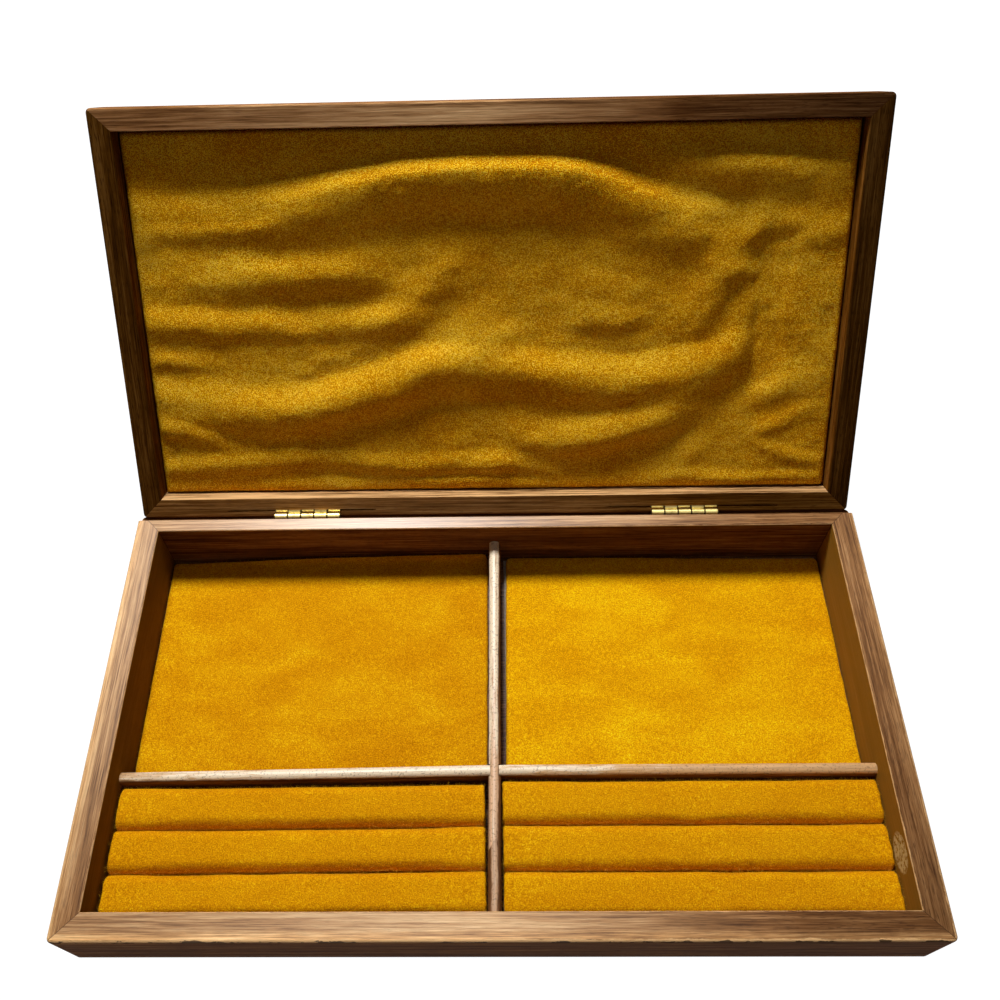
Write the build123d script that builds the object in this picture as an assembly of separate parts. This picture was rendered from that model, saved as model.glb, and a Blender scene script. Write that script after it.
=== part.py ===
from build123d import *
import math
import os

# A hinged wooden display box for cufflinks. Four mitred walnut rails round a let-in bottom panel
# make the base, four more round a top panel make the lid. Two crossed dividers part the base into
# two plush pads at the back and two sets of plush rolls at the front, which grip the cufflinks.
# Two small brass hinges stand in saw kerfs, and the open lid leans on the back of the base.
#
# Frame: X left to right, Y front to back, Z up, millimetres. The origin is the centre of the
# underside. The box is drawn with its lid open.

# ---- Driving sizes ---------------------------------------------------------------------------

# Carcase
box_width = 322.0  # over the side rails of the base
box_depth = 180.0  # over the front and back rails of the base
base_height = 32.0
lid_height = 16.0
rail_thickness = 10.2  # of the base
lid_inset = 1.0  # how far the lid's four sides stand inside the base's; its rails are as much thinner
corner_radius = 2.0  # rounding of the four upright corners
arris_radius = 1.0  # rounding of the long outer edges
rim_chamfer = 0.3  # bevel of the inner edge of each rim
lid_gap = 0.1  # between the two rims when the lid is shut

# Panels, glued into a ledge cut in the rails
base_panel_thickness = 3.0
lid_panel_thickness = 4.0
panel_ledge = 4.6  # how far a panel reaches into a rail

# Dividers. Both were set by eye and stand a little askew: the long one's back end leans to the
# right, and the cross one bends at the joint, so that its left end comes forward.
divider_height = 16.6  # above the bottom panel
long_divider_thickness = 5.2
joint_x = -0.4  # middle of the long divider where the two cross
cross_divider_thickness = 4.6
front_bay_depth = 52.7  # from the front rail to the cross divider
long_divider_skew = 0.6  # degrees, about the joint
cross_divider_skew = 0.9  # degrees, of the left-hand half
neck_thickness = 3.3  # what is left of the long divider where the two cross
lap_clearance = 0.1  # round the halved joint

# Flat pads of the back bays: a card with velvet over its top and its four edges
pad_board_thickness = 1.0
pad_velvet_thickness = 1.2
pad_clearance = 0.3  # between plush or card and the wood round it

# Rolls of the front bays
roll_card_thickness = 1.5
roll_count = 3
roll_height = 13.8
roll_shoulder = 4.5  # rounding of a roll's two top edges
roll_skin = 1.2  # thickness of the plush round the core
roll_spacing = 0.3  # between one roll and the next
roll_back_gap = 1.1  # from the last roll to the cross divider
roll_end_gap = 0.2  # from the rolls to the long divider
roll_skew = {"left": 0.45, "right": 0.0}  # degrees; each set lies along the divider behind it
core_clearance = 0.1

# Padded lining of the lid
lining_board_thickness = 1.0
wadding_thickness = 2.5
lining_velvet_thickness = 1.0
fold_root = 0.4  # how deep a fold is rooted in the velvet
fold_runout = 15.0  # length over which a fold dies away past its first and last points
fold_tip = 0.3  # share of its height and width that is left at the tip
fold_shoulder = (0.45, 0.66)  # share of a foot's width at which a fold has this share of its height

# The lining's main folds, where the cloth has slipped down, as they lie on a lining of the width
# and depth given first; on another they lie closer or farther apart. A crest is a list of points,
# each the distance from the middle of the lining, from its hinge edge and above its face. The
# feet are how far the fold spreads towards the hinges and away from them.
folds_drawn_on = (301.0, 159.0)
lining_folds = {
    "top": {
        "crest": [(-125, 127, 1.4), (-60, 133.5, 3.7), (-30, 137.5, 4.4), (30, 136.5, 4.5), (62, 127.5, 3.6), (92, 118.5, 2.2)],
        "feet": (21.0, 10.0),
    },
    "upper": {
        "crest": [(-130, 78.5, 1.4), (-72, 76.5, 1.9), (-14, 80.5, 1.5)],
        "feet": (9.0, 8.0),
    },
    "middle": {
        "crest": [(-128, 41.5, 2.0), (-84, 40.5, 3.7), (-24, 54.5, 3.5), (16, 53.5, 3.0), (56, 48.5, 2.9), (94, 54.5, 2.4)],
        "feet": (13.0, 13.0),
    },
    "lower": {
        "crest": [(14, 21.5, 1.8), (50, 27.5, 2.5), (90, 33.5, 2.0)],
        "feet": (9.0, 9.0),
    },
}

# Hinges
hinge_centres = {"left": -84.2, "right": 86.6}
kerf_centres = {"left": -87.0, "right": 90.0}
kerf_lengths = {"left": 68.0, "right": 77.0}  # run-out to run-out on the wood's surface
hinge_length = 30.0
knuckle_count = 5
knuckle_gap = 0.25
barrel_radius = 1.35
pin_radius = 0.6
pin_clearance = 0.05
leaf_thickness = 0.76
leaf_offset = 2.0  # from the pin's axis to the middle of a leaf's plate
leaf_depth = 6.5  # how far a leaf stands in the wood
leaf_relief = 0.2  # between a leaf and the other leaf's knuckles
kerf_clearance = 0.02  # on each face of a leaf
cutter_radius = 68.0  # slotting saw that cut the kerfs
plate_clearance = 0.12  # between a leaf's plate and the front of the rebate it lies in
axis_inset = 2.1  # hinge axis in front of the back face of the base
axis_drop = 1.65  # hinge axis below the base's rim
open_angle = 124.6
stop_clearance = 0.1  # between the open lid and the back edge of the base that stops it

# ---- Sizes that follow -----------------------------------------------------------------------

half_width = box_width / 2
half_depth = box_depth / 2
inner_x = half_width - rail_thickness
inner_y = half_depth - rail_thickness
floor_z = base_panel_thickness
divider_top_z = floor_z + divider_height
cross_front_y = -inner_y + front_bay_depth
cross_back_y = cross_front_y + cross_divider_thickness
cross_y = (cross_front_y + cross_back_y) / 2
lining_x = inner_x - pad_clearance
lining_y = inner_y - pad_clearance
lid_rim_z = base_height + lid_gap
lid_top_z = lid_rim_z + lid_height
axis_y = half_depth - axis_inset
lid_back = axis_inset - lid_inset  # hinge axis in front of the back face of the lid
axis_z = base_height - axis_drop
rebate_width = axis_inset + leaf_offset + leaf_thickness / 2 + plate_clearance
stop_drop = (lid_back - axis_inset * math.cos(math.radians(open_angle))) / math.sin(math.radians(open_angle))
rebate_floor_z = axis_z - stop_drop - stop_clearance  # the open lid's back face clears its back edge
kerf_width = leaf_thickness + 2 * kerf_clearance
kerf_y = axis_y - leaf_offset
hinge_axis = Axis((0, axis_y, axis_z), (1, 0, 0))

pieces = {}


def slab(low, high):
    """A box between two opposite corners."""
    size = [b - a for a, b in zip(low, high)]
    middle = [(a + b) / 2 for a, b in zip(low, high)]
    return Pos(*middle) * Box(*size)


# ---- Rails and panels ------------------------------------------------------------------------


def rail_ring(low_z, height, rim_side, panel_thickness, inset=0.0):
    """The four rails in one piece, their outer faces set in by inset: rim_side is +1 where the rim
    is on top and -1 where it is underneath, and the panel's ledge is cut on the other side."""
    outline = RectangleRounded(box_width - 2 * inset, box_depth - 2 * inset, corner_radius)
    opening = Rectangle(2 * inner_x, 2 * inner_y)
    ring = Pos(0, 0, low_z) * extrude(outline - opening, height)
    faces = ring.faces().sort_by(Axis.Z)
    rim = faces[-1] if rim_side > 0 else faces[0]
    back = faces[0] if rim_side > 0 else faces[-1]
    ring = chamfer(rim.inner_wires()[0].edges(), rim_chamfer)
    long_edges = rim.outer_wire().edges() + back.outer_wire().edges()
    ring = fillet(ring.edges().filter_by(lambda e: any(same_edge(e, f) for f in long_edges)), arris_radius)
    return ring - panel_slab(low_z, height, rim_side, panel_thickness)


def same_edge(first, second):
    """Whether two edges lie in one place."""
    return (first.center() - second.center()).length < 1e-6


def panel_slab(low_z, height, rim_side, thickness):
    """The panel on the side away from the rim, flush with the rails' edges."""
    reach_x = inner_x + panel_ledge
    reach_y = inner_y + panel_ledge
    low = low_z if rim_side > 0 else low_z + height - thickness
    return slab((-reach_x, -reach_y, low), (reach_x, reach_y, low + thickness))


def mitred(ring, prefix):
    """Cuts a ring of rails into its four mitred lengths."""
    beyond = rail_thickness
    outer = (half_width + beyond, half_depth + beyond)
    inner = (inner_x - beyond, inner_y - beyond)
    box = ring.bounding_box()
    for name, points in {
        "front": [(-outer[0], -outer[1]), (outer[0], -outer[1]), (inner[0], -inner[1]), (-inner[0], -inner[1])],
        "back": [(outer[0], outer[1]), (-outer[0], outer[1]), (-inner[0], inner[1]), (inner[0], inner[1])],
        "left": [(-outer[0], outer[1]), (-outer[0], -outer[1]), (-inner[0], -inner[1]), (-inner[0], inner[1])],
        "right": [(outer[0], -outer[1]), (outer[0], outer[1]), (inner[0], inner[1]), (inner[0], -inner[1])],
    }.items():
        wedge = extrude(Face(Wire.make_polygon(points)), box.size.Z + 2)
        pieces[f"{prefix}_{name}_rail"] = ring & (Pos(0, 0, box.min.Z - 1) * wedge)


def saw_kerf(side, surface_z, into):
    """The slot that a slotting saw leaves in a surface: into is -1 down and +1 up."""
    reach = math.sqrt(cutter_radius**2 - (kerf_lengths[side] / 2) ** 2)
    centre = Pos(kerf_centres[side], kerf_y, surface_z - into * reach)
    return centre * Rot(90, 0, 0) * Cylinder(cutter_radius, kerf_width)


def make_base():
    ring = rail_ring(0, base_height, 1, base_panel_thickness)
    ring -= slab(
        (-box_width, half_depth - rebate_width, rebate_floor_z),
        (box_width, box_depth, base_height + lid_height),
    )
    mitred(ring, "base")
    for side in hinge_centres:
        pieces["base_back_rail"] -= saw_kerf(side, rebate_floor_z, -1)
    pieces["base_bottom_panel"] = panel_slab(0, base_height, 1, base_panel_thickness)


def make_lid():
    mitred(rail_ring(lid_rim_z, lid_height, -1, lid_panel_thickness, lid_inset), "lid")
    for side in hinge_centres:
        pieces["lid_back_rail"] -= saw_kerf(side, lid_rim_z, 1)
    pieces["lid_panel"] = panel_slab(lid_rim_z, lid_height, -1, lid_panel_thickness)
    top = lid_top_z - lid_panel_thickness
    for name, thickness in {
        "lid_lining_board": lining_board_thickness,
        "lid_wadding": wadding_thickness,
        "lid_lining_velvet": lining_velvet_thickness,
    }.items():
        pieces[name] = slab((-lining_x, -lining_y, top - thickness), (lining_x, lining_y, top))
        top -= thickness
    for fold in lining_folds.values():
        pieces["lid_lining_velvet"] += folded_ridge(fold["crest"], fold["feet"], top)


def folded_ridge(crest, feet, face_z):
    """A fold of the lining: rounded cross-sections along its crest, joined by ruled surfaces."""
    first, last = crest[0], crest[-1]
    tips = [(first[0] - fold_runout, *first[1:]), (last[0] + fold_runout, *last[1:])]
    sections = [fold_section(tips[0], feet, face_z, fold_tip)]
    sections += [fold_section(point, feet, face_z, 1.0) for point in crest]
    sections += [fold_section(tips[1], feet, face_z, fold_tip)]
    return loft(sections, ruled=True)


def fold_section(point, feet, face_z, share):
    """The cross-section of a fold, upright and square to X: a smooth curve over its crest from
    foot to foot, closed inside the velvet."""
    x, from_hinges, height = point
    x *= 2 * lining_x / folds_drawn_on[0]
    y = lining_y - from_hinges * 2 * lining_y / folds_drawn_on[1]
    rear, fore = y + share * feet[0], y - share * feet[1]
    along, up = fold_shoulder
    crest_z, shoulder_z = face_z - share * height, face_z - share * height * up
    root_z = face_z + fold_root
    curve = Spline(
        (x, rear, root_z),
        (x, y + along * (rear - y), shoulder_z),
        (x, y, crest_z),
        (x, y - along * (y - fore), shoulder_z),
        (x, fore, root_z),
    )
    return Face(Wire([curve, Line((x, fore, root_z), (x, rear, root_z))]))


# ---- Dividers --------------------------------------------------------------------------------


def bullnosed(points, thickness):
    """A divider that stands on the bottom panel along a line of points, its top edge half round."""
    path = Polyline(*[(x, y, floor_z) for x, y in points])
    radius = thickness / 2
    profile = Pos(0, (divider_height - radius) / 2) * Rectangle(thickness, divider_height - radius)
    profile += Pos(0, divider_height - radius) * Circle(radius)
    along = path % 0
    start = Plane(origin=path @ 0, x_dir=(-along.Y, along.X, 0), z_dir=along)
    return sweep(start * profile, path=path, transition=Transition.RIGHT)


def long_divider_x(y):
    """Where the middle of the long divider lies at some depth of the box."""
    return joint_x + (y - cross_y) * math.tan(math.radians(long_divider_skew))


def make_dividers():
    lap_z = floor_z + divider_height / 2
    lap_y = (cross_front_y - lap_clearance, cross_back_y + lap_clearance)
    neck_x = (joint_x - neck_thickness / 2, joint_x + neck_thickness / 2)
    cavity = slab((-inner_x, -inner_y, 0), (inner_x, inner_y, base_height))
    beyond = rail_thickness / 2
    end_x, end_y = inner_x + beyond, inner_y + beyond

    long = bullnosed([(long_divider_x(y), y) for y in (-end_y, end_y)], long_divider_thickness)
    long &= cavity
    long -= slab((-inner_x, lap_y[0], 0), (inner_x, lap_y[1], lap_z + lap_clearance))
    for cheek in ((-inner_x, neck_x[0]), (neck_x[1], inner_x)):
        long -= slab((cheek[0], lap_y[0], 0), (cheek[1], lap_y[1], divider_top_z + 1))
    pieces["long_divider"] = long

    left_end_y = cross_y - end_x * math.tan(math.radians(cross_divider_skew))
    cross = bullnosed([(-end_x, left_end_y), (0, cross_y), (end_x, cross_y)], cross_divider_thickness)
    cross &= cavity
    notch_x = (neck_x[0] - lap_clearance, neck_x[1] + lap_clearance)
    cross -= slab((notch_x[0], -inner_y, lap_z), (notch_x[1], inner_y, divider_top_z + 1))
    pieces["cross_divider"] = cross


# ---- Soft furnishing of the base -------------------------------------------------------------


def make_back_pads():
    beside = long_divider_thickness / 2 + pad_clearance
    near = {"left": long_divider_x(cross_back_y) - beside, "right": long_divider_x(inner_y) + beside}
    low_y = cross_back_y + pad_clearance
    high_y = inner_y - pad_clearance
    board_top = floor_z + pad_board_thickness
    velvet_top = board_top + pad_velvet_thickness
    inset = pad_velvet_thickness
    for side, sign in (("left", -1), ("right", 1)):
        low_x, high_x = sorted((near[side], sign * (inner_x - pad_clearance)))
        board = slab((low_x + inset, low_y + inset, floor_z), (high_x - inset, high_y - inset, board_top))
        cover = slab((low_x, low_y, floor_z), (high_x, high_y, velvet_top))
        pieces[f"rear_{side}_pad_board"] = board
        pieces[f"rear_{side}_pad_velvet"] = cover - board


def rounded_bar(length, width, height, shoulder):
    """A bar along X on z = 0, centred in X and Y, its two long top edges rounded."""
    bar = Pos(0, 0, height / 2) * Box(length, width, height)
    top_edges = bar.faces().sort_by(Axis.Z)[-1].edges().filter_by(Axis.X)
    return fillet(top_edges, shoulder)


def make_rolls():
    beside = long_divider_thickness / 2 + roll_end_gap
    near = {"left": beside - long_divider_x(-inner_y), "right": beside + long_divider_x(cross_front_y)}
    high_x = inner_x - pad_clearance
    low_y = -inner_y + pad_clearance
    high_y = cross_front_y - roll_back_gap
    card_top = floor_z + roll_card_thickness
    left_lean = inner_x * math.tan(math.radians(cross_divider_skew))
    for side, sign in {"left": -1, "right": 1}.items():
        skew = math.radians(roll_skew[side])
        near_x = near[side]
        turned = (high_y - low_y) / 2 * math.sin(skew)  # what the turn adds at each end
        length = high_x - near_x - 2 * turned
        fanned = length * math.sin(skew)  # what the turn takes from the depth of the set
        back_y = high_y - (left_lean - fanned if side == "left" else 0.0)
        depth = back_y - low_y - fanned
        centre = (sign * (near_x + high_x) / 2, (low_y + back_y) / 2, 0)
        place = Pos(*centre) * Rot(0, 0, math.degrees(skew))
        make_roll_set(side, place, length, depth, card_top)


def make_roll_set(side, place, length, depth, card_top):
    """One card and its rolls, side by side from the front, centred on the origin and then placed."""
    card = slab((-length / 2, -depth / 2, floor_z), (length / 2, depth / 2, card_top))
    pieces[f"front_{side}_roll_card"] = place * card

    pitch = (depth + roll_spacing) / roll_count
    width = pitch - roll_spacing
    outer = rounded_bar(length, width, roll_height, roll_shoulder)
    hollow_size = (length - 2 * roll_skin, width - 2 * roll_skin, roll_height - roll_skin)
    velvet = outer - rounded_bar(*hollow_size, roll_shoulder - roll_skin)
    shrink = 2 * core_clearance
    core_size = (hollow_size[0] - shrink, hollow_size[1] - shrink, hollow_size[2] - core_clearance)
    core = rounded_bar(*core_size, roll_shoulder - roll_skin - core_clearance)
    for index in range(roll_count):
        lie = Pos(0, (width - depth) / 2 + index * pitch, card_top)
        pieces[f"front_{side}_roll_velvet_{index + 1}"] = place * lie * velvet
        pieces[f"front_{side}_roll_core_{index + 1}"] = place * lie * core


# ---- Hinges ----------------------------------------------------------------------------------


def hinge_leaf(first_knuckle, sense, plate_reach):
    """One leaf, its axis along X through the origin and its left end at x = 0. It carries every
    second knuckle from first_knuckle on. Its plate stands in front of the axis and runs up where
    sense is +1, down where -1. At each knuckle it is bent back square and rolled round the pin."""
    knuckle = (hinge_length - (knuckle_count - 1) * knuckle_gap) / knuckle_count
    front = -leaf_offset - leaf_thickness / 2
    back = front + leaf_thickness
    near = barrel_radius + leaf_relief
    web_z = sorted((sense * (barrel_radius - leaf_thickness), sense * barrel_radius))
    tab_z = sorted((sense * (barrel_radius - leaf_thickness), sense * near))
    plate_z = sorted((sense * near, sense * plate_reach))
    leaf = slab((0, front, plate_z[0]), (hinge_length, back, plate_z[1]))
    for index in range(first_knuckle, knuckle_count, 2):
        start = index * (knuckle + knuckle_gap)
        leaf += slab((start, front, tab_z[0]), (start + knuckle, back, tab_z[1]))
        leaf += slab((start, front, web_z[0]), (start + knuckle, 0, web_z[1]))
        leaf += Pos(start + knuckle / 2, 0, 0) * Rot(0, 90, 0) * Cylinder(barrel_radius, knuckle)
    bore = Rot(0, 90, 0) * Cylinder(pin_radius + pin_clearance, 3 * hinge_length)
    return leaf - bore


def make_hinges():
    lid_reach = axis_drop + lid_gap + leaf_depth
    base_reach = axis_z - rebate_floor_z + leaf_depth
    for side, centre in hinge_centres.items():
        place = Pos(centre - hinge_length / 2, axis_y, axis_z)
        pieces[f"hinge_{side}_lid_leaf"] = place * hinge_leaf(1, 1, lid_reach)
        pieces[f"hinge_{side}_base_leaf"] = place * hinge_leaf(0, -1, base_reach)
        pin = Pos(centre, axis_y, axis_z) * Rot(0, 90, 0) * Cylinder(pin_radius, hinge_length)
        pieces[f"hinge_{side}_pin"] = pin


# ---- Assembly --------------------------------------------------------------------------------

make_base()
make_dividers()
make_back_pads()
make_rolls()
make_lid()
make_hinges()

os.makedirs("parts", exist_ok=True)
for name, shape in pieces.items():
    if name.startswith("lid_") or name.endswith("_lid_leaf"):
        shape = shape.rotate(hinge_axis, -open_angle)
    export_step(shape, f"parts/{name}.step")
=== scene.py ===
"""A walnut display box for cufflinks, dressed round its fixed frame.

Four mitred rails hold a bottom panel, four more a lid panel. Crossed dividers part the base into
two plush pads at the back and two sets of plush rolls at the front. The lid is lined with loose
mustard plush that has slipped into folds. Metres throughout, in the frame of the solids: X to the
right, Y to the back, Z up, the origin under the middle of the base.
"""

import logging
import math
from dataclasses import dataclass, replace
from enum import Enum

import bmesh
import bpy
import numpy as np
from mathutils import Matrix, Vector


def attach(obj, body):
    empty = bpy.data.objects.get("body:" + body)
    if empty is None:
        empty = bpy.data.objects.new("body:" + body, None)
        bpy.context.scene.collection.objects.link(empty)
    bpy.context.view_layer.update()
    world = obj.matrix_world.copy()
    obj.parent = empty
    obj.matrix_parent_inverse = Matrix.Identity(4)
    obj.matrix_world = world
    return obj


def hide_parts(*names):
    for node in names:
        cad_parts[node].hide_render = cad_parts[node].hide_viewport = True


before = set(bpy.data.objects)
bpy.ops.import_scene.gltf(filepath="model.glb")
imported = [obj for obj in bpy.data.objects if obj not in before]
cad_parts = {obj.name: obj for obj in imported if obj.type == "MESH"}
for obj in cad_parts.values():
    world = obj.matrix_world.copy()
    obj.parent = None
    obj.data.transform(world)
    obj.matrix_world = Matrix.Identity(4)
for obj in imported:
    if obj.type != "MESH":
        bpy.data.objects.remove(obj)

log = logging.getLogger("display_box")
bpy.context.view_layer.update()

MM = 0.001
Points = np.ndarray
Faces = np.ndarray
Socket = bpy.types.NodeSocket
Material = bpy.types.Material
Item = bpy.types.Object


# ---- Sizes shared by the pieces --------------------------------------------------------------


@dataclass(frozen=True)
class Carcase:
    """The box itself, in metres."""

    half_width: float = 161.0 * MM
    half_depth: float = 90.0 * MM
    rail: float = 10.2 * MM
    lid_inset: float = 1.0 * MM
    rim: float = 32.0 * MM
    lid_rim: float = 32.1 * MM
    axis_y: float = 87.9 * MM
    axis_z: float = 30.35 * MM
    open_angle: float = math.radians(124.6)

    @property
    def lid_depth(self) -> float:
        """Half the depth of the lid, which stands inside the base's sides."""
        return self.half_depth - self.lid_inset

    def opened(self, points: Points) -> Points:
        """Swings points of the shut lid to where the open lid holds them.

        Args:
            points: N by 3 places in the shut lid.

        Returns:
            The same points turned back about the hinge axis by the opening angle.
        """
        pivot = np.array([0.0, self.axis_y, self.axis_z])
        cos, sin = math.cos(self.open_angle), math.sin(self.open_angle)
        turn = np.array([[1, 0, 0], [0, cos, sin], [0, -sin, cos]])
        return (points - pivot) @ turn.T + pivot


BOX = Carcase()


class Body(Enum):
    """The two moving bodies of the box."""

    BASE = "base"
    LID = "lid"


# ---- Surfaces --------------------------------------------------------------------------------


def grid_faces(rows: int, columns: int, closed: bool = False) -> Faces:
    """Quads that join the points of a grid, given row by row.

    Args:
        rows: How many rows of points.
        columns: How many points in a row.
        closed: Whether the last column joins the first.

    Returns:
        An M by 4 array of point numbers, turned so that rows cross columns anticlockwise.
    """
    wide = columns if closed else columns - 1
    i, j = np.meshgrid(np.arange(rows - 1), np.arange(wide), indexing="ij")
    k = (j + 1) % columns
    quads = np.stack([i * columns + j, i * columns + k, (i + 1) * columns + k, (i + 1) * columns + j], -1)
    return quads.reshape(-1, 4)


def smooth_step(t: Points) -> Points:
    """Eases 0 to 1: three t squared less two t cubed, flat outside."""
    t = np.clip(t, 0, 1)
    return t * t * (3 - 2 * t)


def soft_noise(x: Points, y: Points, cell: float, seed: int) -> Points:
    """Smooth random relief from -1 to 1.

    Random numbers stand on the corners of a square lattice, and each point takes the eased mean
    of the four round it.

    Args:
        x: First coordinate of each point, in metres.
        y: Second coordinate of each point.
        cell: The lattice's pitch, in metres.
        seed: Picks the random numbers.

    Returns:
        One value for each point.
    """
    size = 512
    lattice = np.random.default_rng(seed).uniform(-1, 1, (size, size))
    u, v = x / cell + 97.0, y / cell + 61.0
    i, j = np.floor(u).astype(int), np.floor(v).astype(int)
    a, b = smooth_step(u - i), smooth_step(v - j)
    i, j = i % size, j % size
    p, q = (i + 1) % size, (j + 1) % size
    low = lattice[i, j] * (1 - a) + lattice[p, j] * a
    high = lattice[i, q] * (1 - a) + lattice[p, q] * a
    return low * (1 - b) + high * b


def piece(name: str, points: Points, faces: Faces, material: Material) -> Item:
    """Makes a smooth-shaded mesh object from whole arrays.

    Args:
        name: The piece's name.
        points: N by 3 places, in metres.
        faces: M by 4 point numbers.
        material: The finish it wears.

    Returns:
        The new object, at the origin.
    """
    mesh = bpy.data.meshes.new(name)
    mesh.from_pydata(points.tolist(), [], faces.tolist())
    mesh.validate()
    mesh.polygons.foreach_set("use_smooth", np.ones(len(mesh.polygons), bool))
    mesh.materials.append(material)
    mesh.update()
    made = bpy.data.objects.new(name, mesh)
    bpy.context.scene.collection.objects.link(made)
    log.info("%s: %d faces", name, len(mesh.polygons))
    return made


def thicken(made: Item, thickness: float) -> None:
    """Gives a sheet its thickness, inwards from the face that shows.

    Args:
        made: The sheet.
        thickness: In metres.
    """
    shell = made.modifiers.new("thickness", "SOLIDIFY")
    shell.thickness = thickness
    shell.offset = -1
    shell.use_rim = True


# ---- Finishes --------------------------------------------------------------------------------


class Bench:
    """A material under construction: short ways to add and join shader nodes."""

    def __init__(self, name: str) -> None:
        """Starts a material with one Principled surface.

        Args:
            name: The material's name.
        """
        self.material = bpy.data.materials.new(name)
        self.material.use_nodes = True
        self.tree = self.material.node_tree
        self.surface = self.tree.nodes["Principled BSDF"]
        self.place = self.tree.nodes.new("ShaderNodeTexCoord").outputs["Object"]

    def join(self, value: object, socket: Socket) -> None:
        """Links a socket into another, or sets it to a plain value.

        Args:
            value: A socket, a number or a colour.
            socket: What receives it.
        """
        if isinstance(value, bpy.types.NodeSocket):
            self.tree.links.new(value, socket)
        else:
            socket.default_value = value

    def maths(self, operation: str, *values: object, clamp: bool = False) -> Socket:
        """One step of arithmetic.

        Args:
            operation: Blender's name for it.
            values: Sockets or numbers.
            clamp: Whether to hold the answer between 0 and 1.

        Returns:
            The answer's socket.
        """
        node = self.tree.nodes.new("ShaderNodeMath")
        node.operation = operation
        node.use_clamp = clamp
        for value, socket in zip(values, node.inputs):
            self.join(value, socket)
        return node.outputs[0]

    def times(self, first: object, second: object) -> Socket:
        """The first times the second."""
        return self.maths("MULTIPLY", first, second)

    def less(self, first: object, second: object) -> Socket:
        """The first less the second."""
        return self.maths("SUBTRACT", first, second)

    def line(self, value: object, slope: object, start: object, clamp: bool = False) -> Socket:
        """Value times slope, plus start."""
        return self.maths("MULTIPLY_ADD", value, slope, start, clamp=clamp)

    def between(self, value: Socket, low: float, high: float) -> Socket:
        """Eases a value from 0 to 1 along three t squared less two t cubed.

        Args:
            value: What is eased.
            low: Where the answer is 0; it may be the larger of the two.
            high: Where the answer is 1.

        Returns:
            The eased value's socket.
        """
        node = self.tree.nodes.new("ShaderNodeMapRange")
        node.interpolation_type = "SMOOTHSTEP"
        self.join(value, node.inputs["Value"])
        node.inputs["From Min"].default_value = low
        node.inputs["From Max"].default_value = high
        return node.outputs["Result"]

    def mapped(
        self, size: tuple, turn: tuple = (0, 0, 0), origin: tuple = (0, 0, 0), source: Socket = None
    ) -> Socket:
        """The place on the piece, moved, turned and measured in features of the given size.

        Args:
            size: Length of a feature along each turned axis, in metres.
            turn: Turn of those axes, in radians.
            origin: Where they start, in metres.
            source: The vector to map, the object's own place when left out.

        Returns:
            The mapped vector's socket.
        """
        node = self.tree.nodes.new("ShaderNodeMapping")
        node.vector_type = "TEXTURE"
        self.join(source or self.place, node.inputs["Vector"])
        node.inputs["Location"].default_value = origin
        node.inputs["Rotation"].default_value = turn
        node.inputs["Scale"].default_value = size
        return node.outputs["Vector"]

    def noise(self, vector: Socket, detail: float = 3.0, rough: float = 0.55, warp: float = 0.0) -> Socket:
        """Fractal noise from 0 to 1, one feature to a unit of the vector.

        Args:
            vector: Where to read it.
            detail: How many finer octaves it has.
            rough: How strong each octave is beside the one before.
            warp: How far the noise is drawn out of true.

        Returns:
            The noise's socket.
        """
        node = self.tree.nodes.new("ShaderNodeTexNoise")
        self.join(vector, node.inputs["Vector"])
        node.inputs["Scale"].default_value = 1.0
        node.inputs["Detail"].default_value = detail
        node.inputs["Roughness"].default_value = rough
        node.inputs["Distortion"].default_value = warp
        return node.outputs["Fac"]

    def ramp(self, value: Socket, *stops: tuple) -> Socket:
        """Colours by value.

        Args:
            value: Where to read the ramp.
            stops: Pairs of place and linear colour, in order.

        Returns:
            The colour's socket.
        """
        node = self.tree.nodes.new("ShaderNodeValToRGB")
        marks = node.color_ramp.elements
        while len(marks) < len(stops):
            marks.new(0.5)
        for mark, (at, colour) in zip(marks, stops):
            mark.position = at
            mark.color = (*colour, 1)
        self.join(value, node.inputs["Fac"])
        return node.outputs["Color"]

    def blend(self, share: object, first: object, second: object, kind: str = "MIX") -> Socket:
        """Mixes two colours.

        Args:
            share: How much of the second.
            first: Colour or socket.
            second: Colour or socket.
            kind: Blender's name for the way they mix.

        Returns:
            The mixed colour's socket.
        """
        node = self.tree.nodes.new("ShaderNodeMix")
        node.data_type = "RGBA"
        node.blend_type = kind
        self.join(share, node.inputs[0])
        for value, socket in ((first, node.inputs[6]), (second, node.inputs[7])):
            self.join((*value, 1) if isinstance(value, tuple) else value, socket)
        return node.outputs[2]

    def grey(self, colour: Socket) -> Socket:
        """One number for a grey colour."""
        return self.split(colour)[0]

    def lightness(self, value: Socket) -> Socket:
        """A grey colour for one number.

        Args:
            value: The number.

        Returns:
            The colour's socket.
        """
        node = self.tree.nodes.new("ShaderNodeCombineXYZ")
        for socket in node.inputs:
            self.join(value, socket)
        return node.outputs[0]

    def split(self, vector: Socket) -> tuple:
        """The three parts of a vector.

        Args:
            vector: The vector or colour to take apart.

        Returns:
            Three sockets.
        """
        node = self.tree.nodes.new("ShaderNodeSeparateXYZ")
        self.join(vector, node.inputs[0])
        return tuple(node.outputs)

    def relief(self, height: Socket, distance: float) -> None:
        """Raises the surface by height times distance.

        Args:
            height: Relief without a unit.
            distance: Height of one unit, in metres.
        """
        node = self.tree.nodes.new("ShaderNodeBump")
        node.inputs["Strength"].default_value = 1.0
        node.inputs["Distance"].default_value = distance
        self.join(height, node.inputs["Height"])
        self.tree.links.new(node.outputs["Normal"], self.surface.inputs["Normal"])

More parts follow.
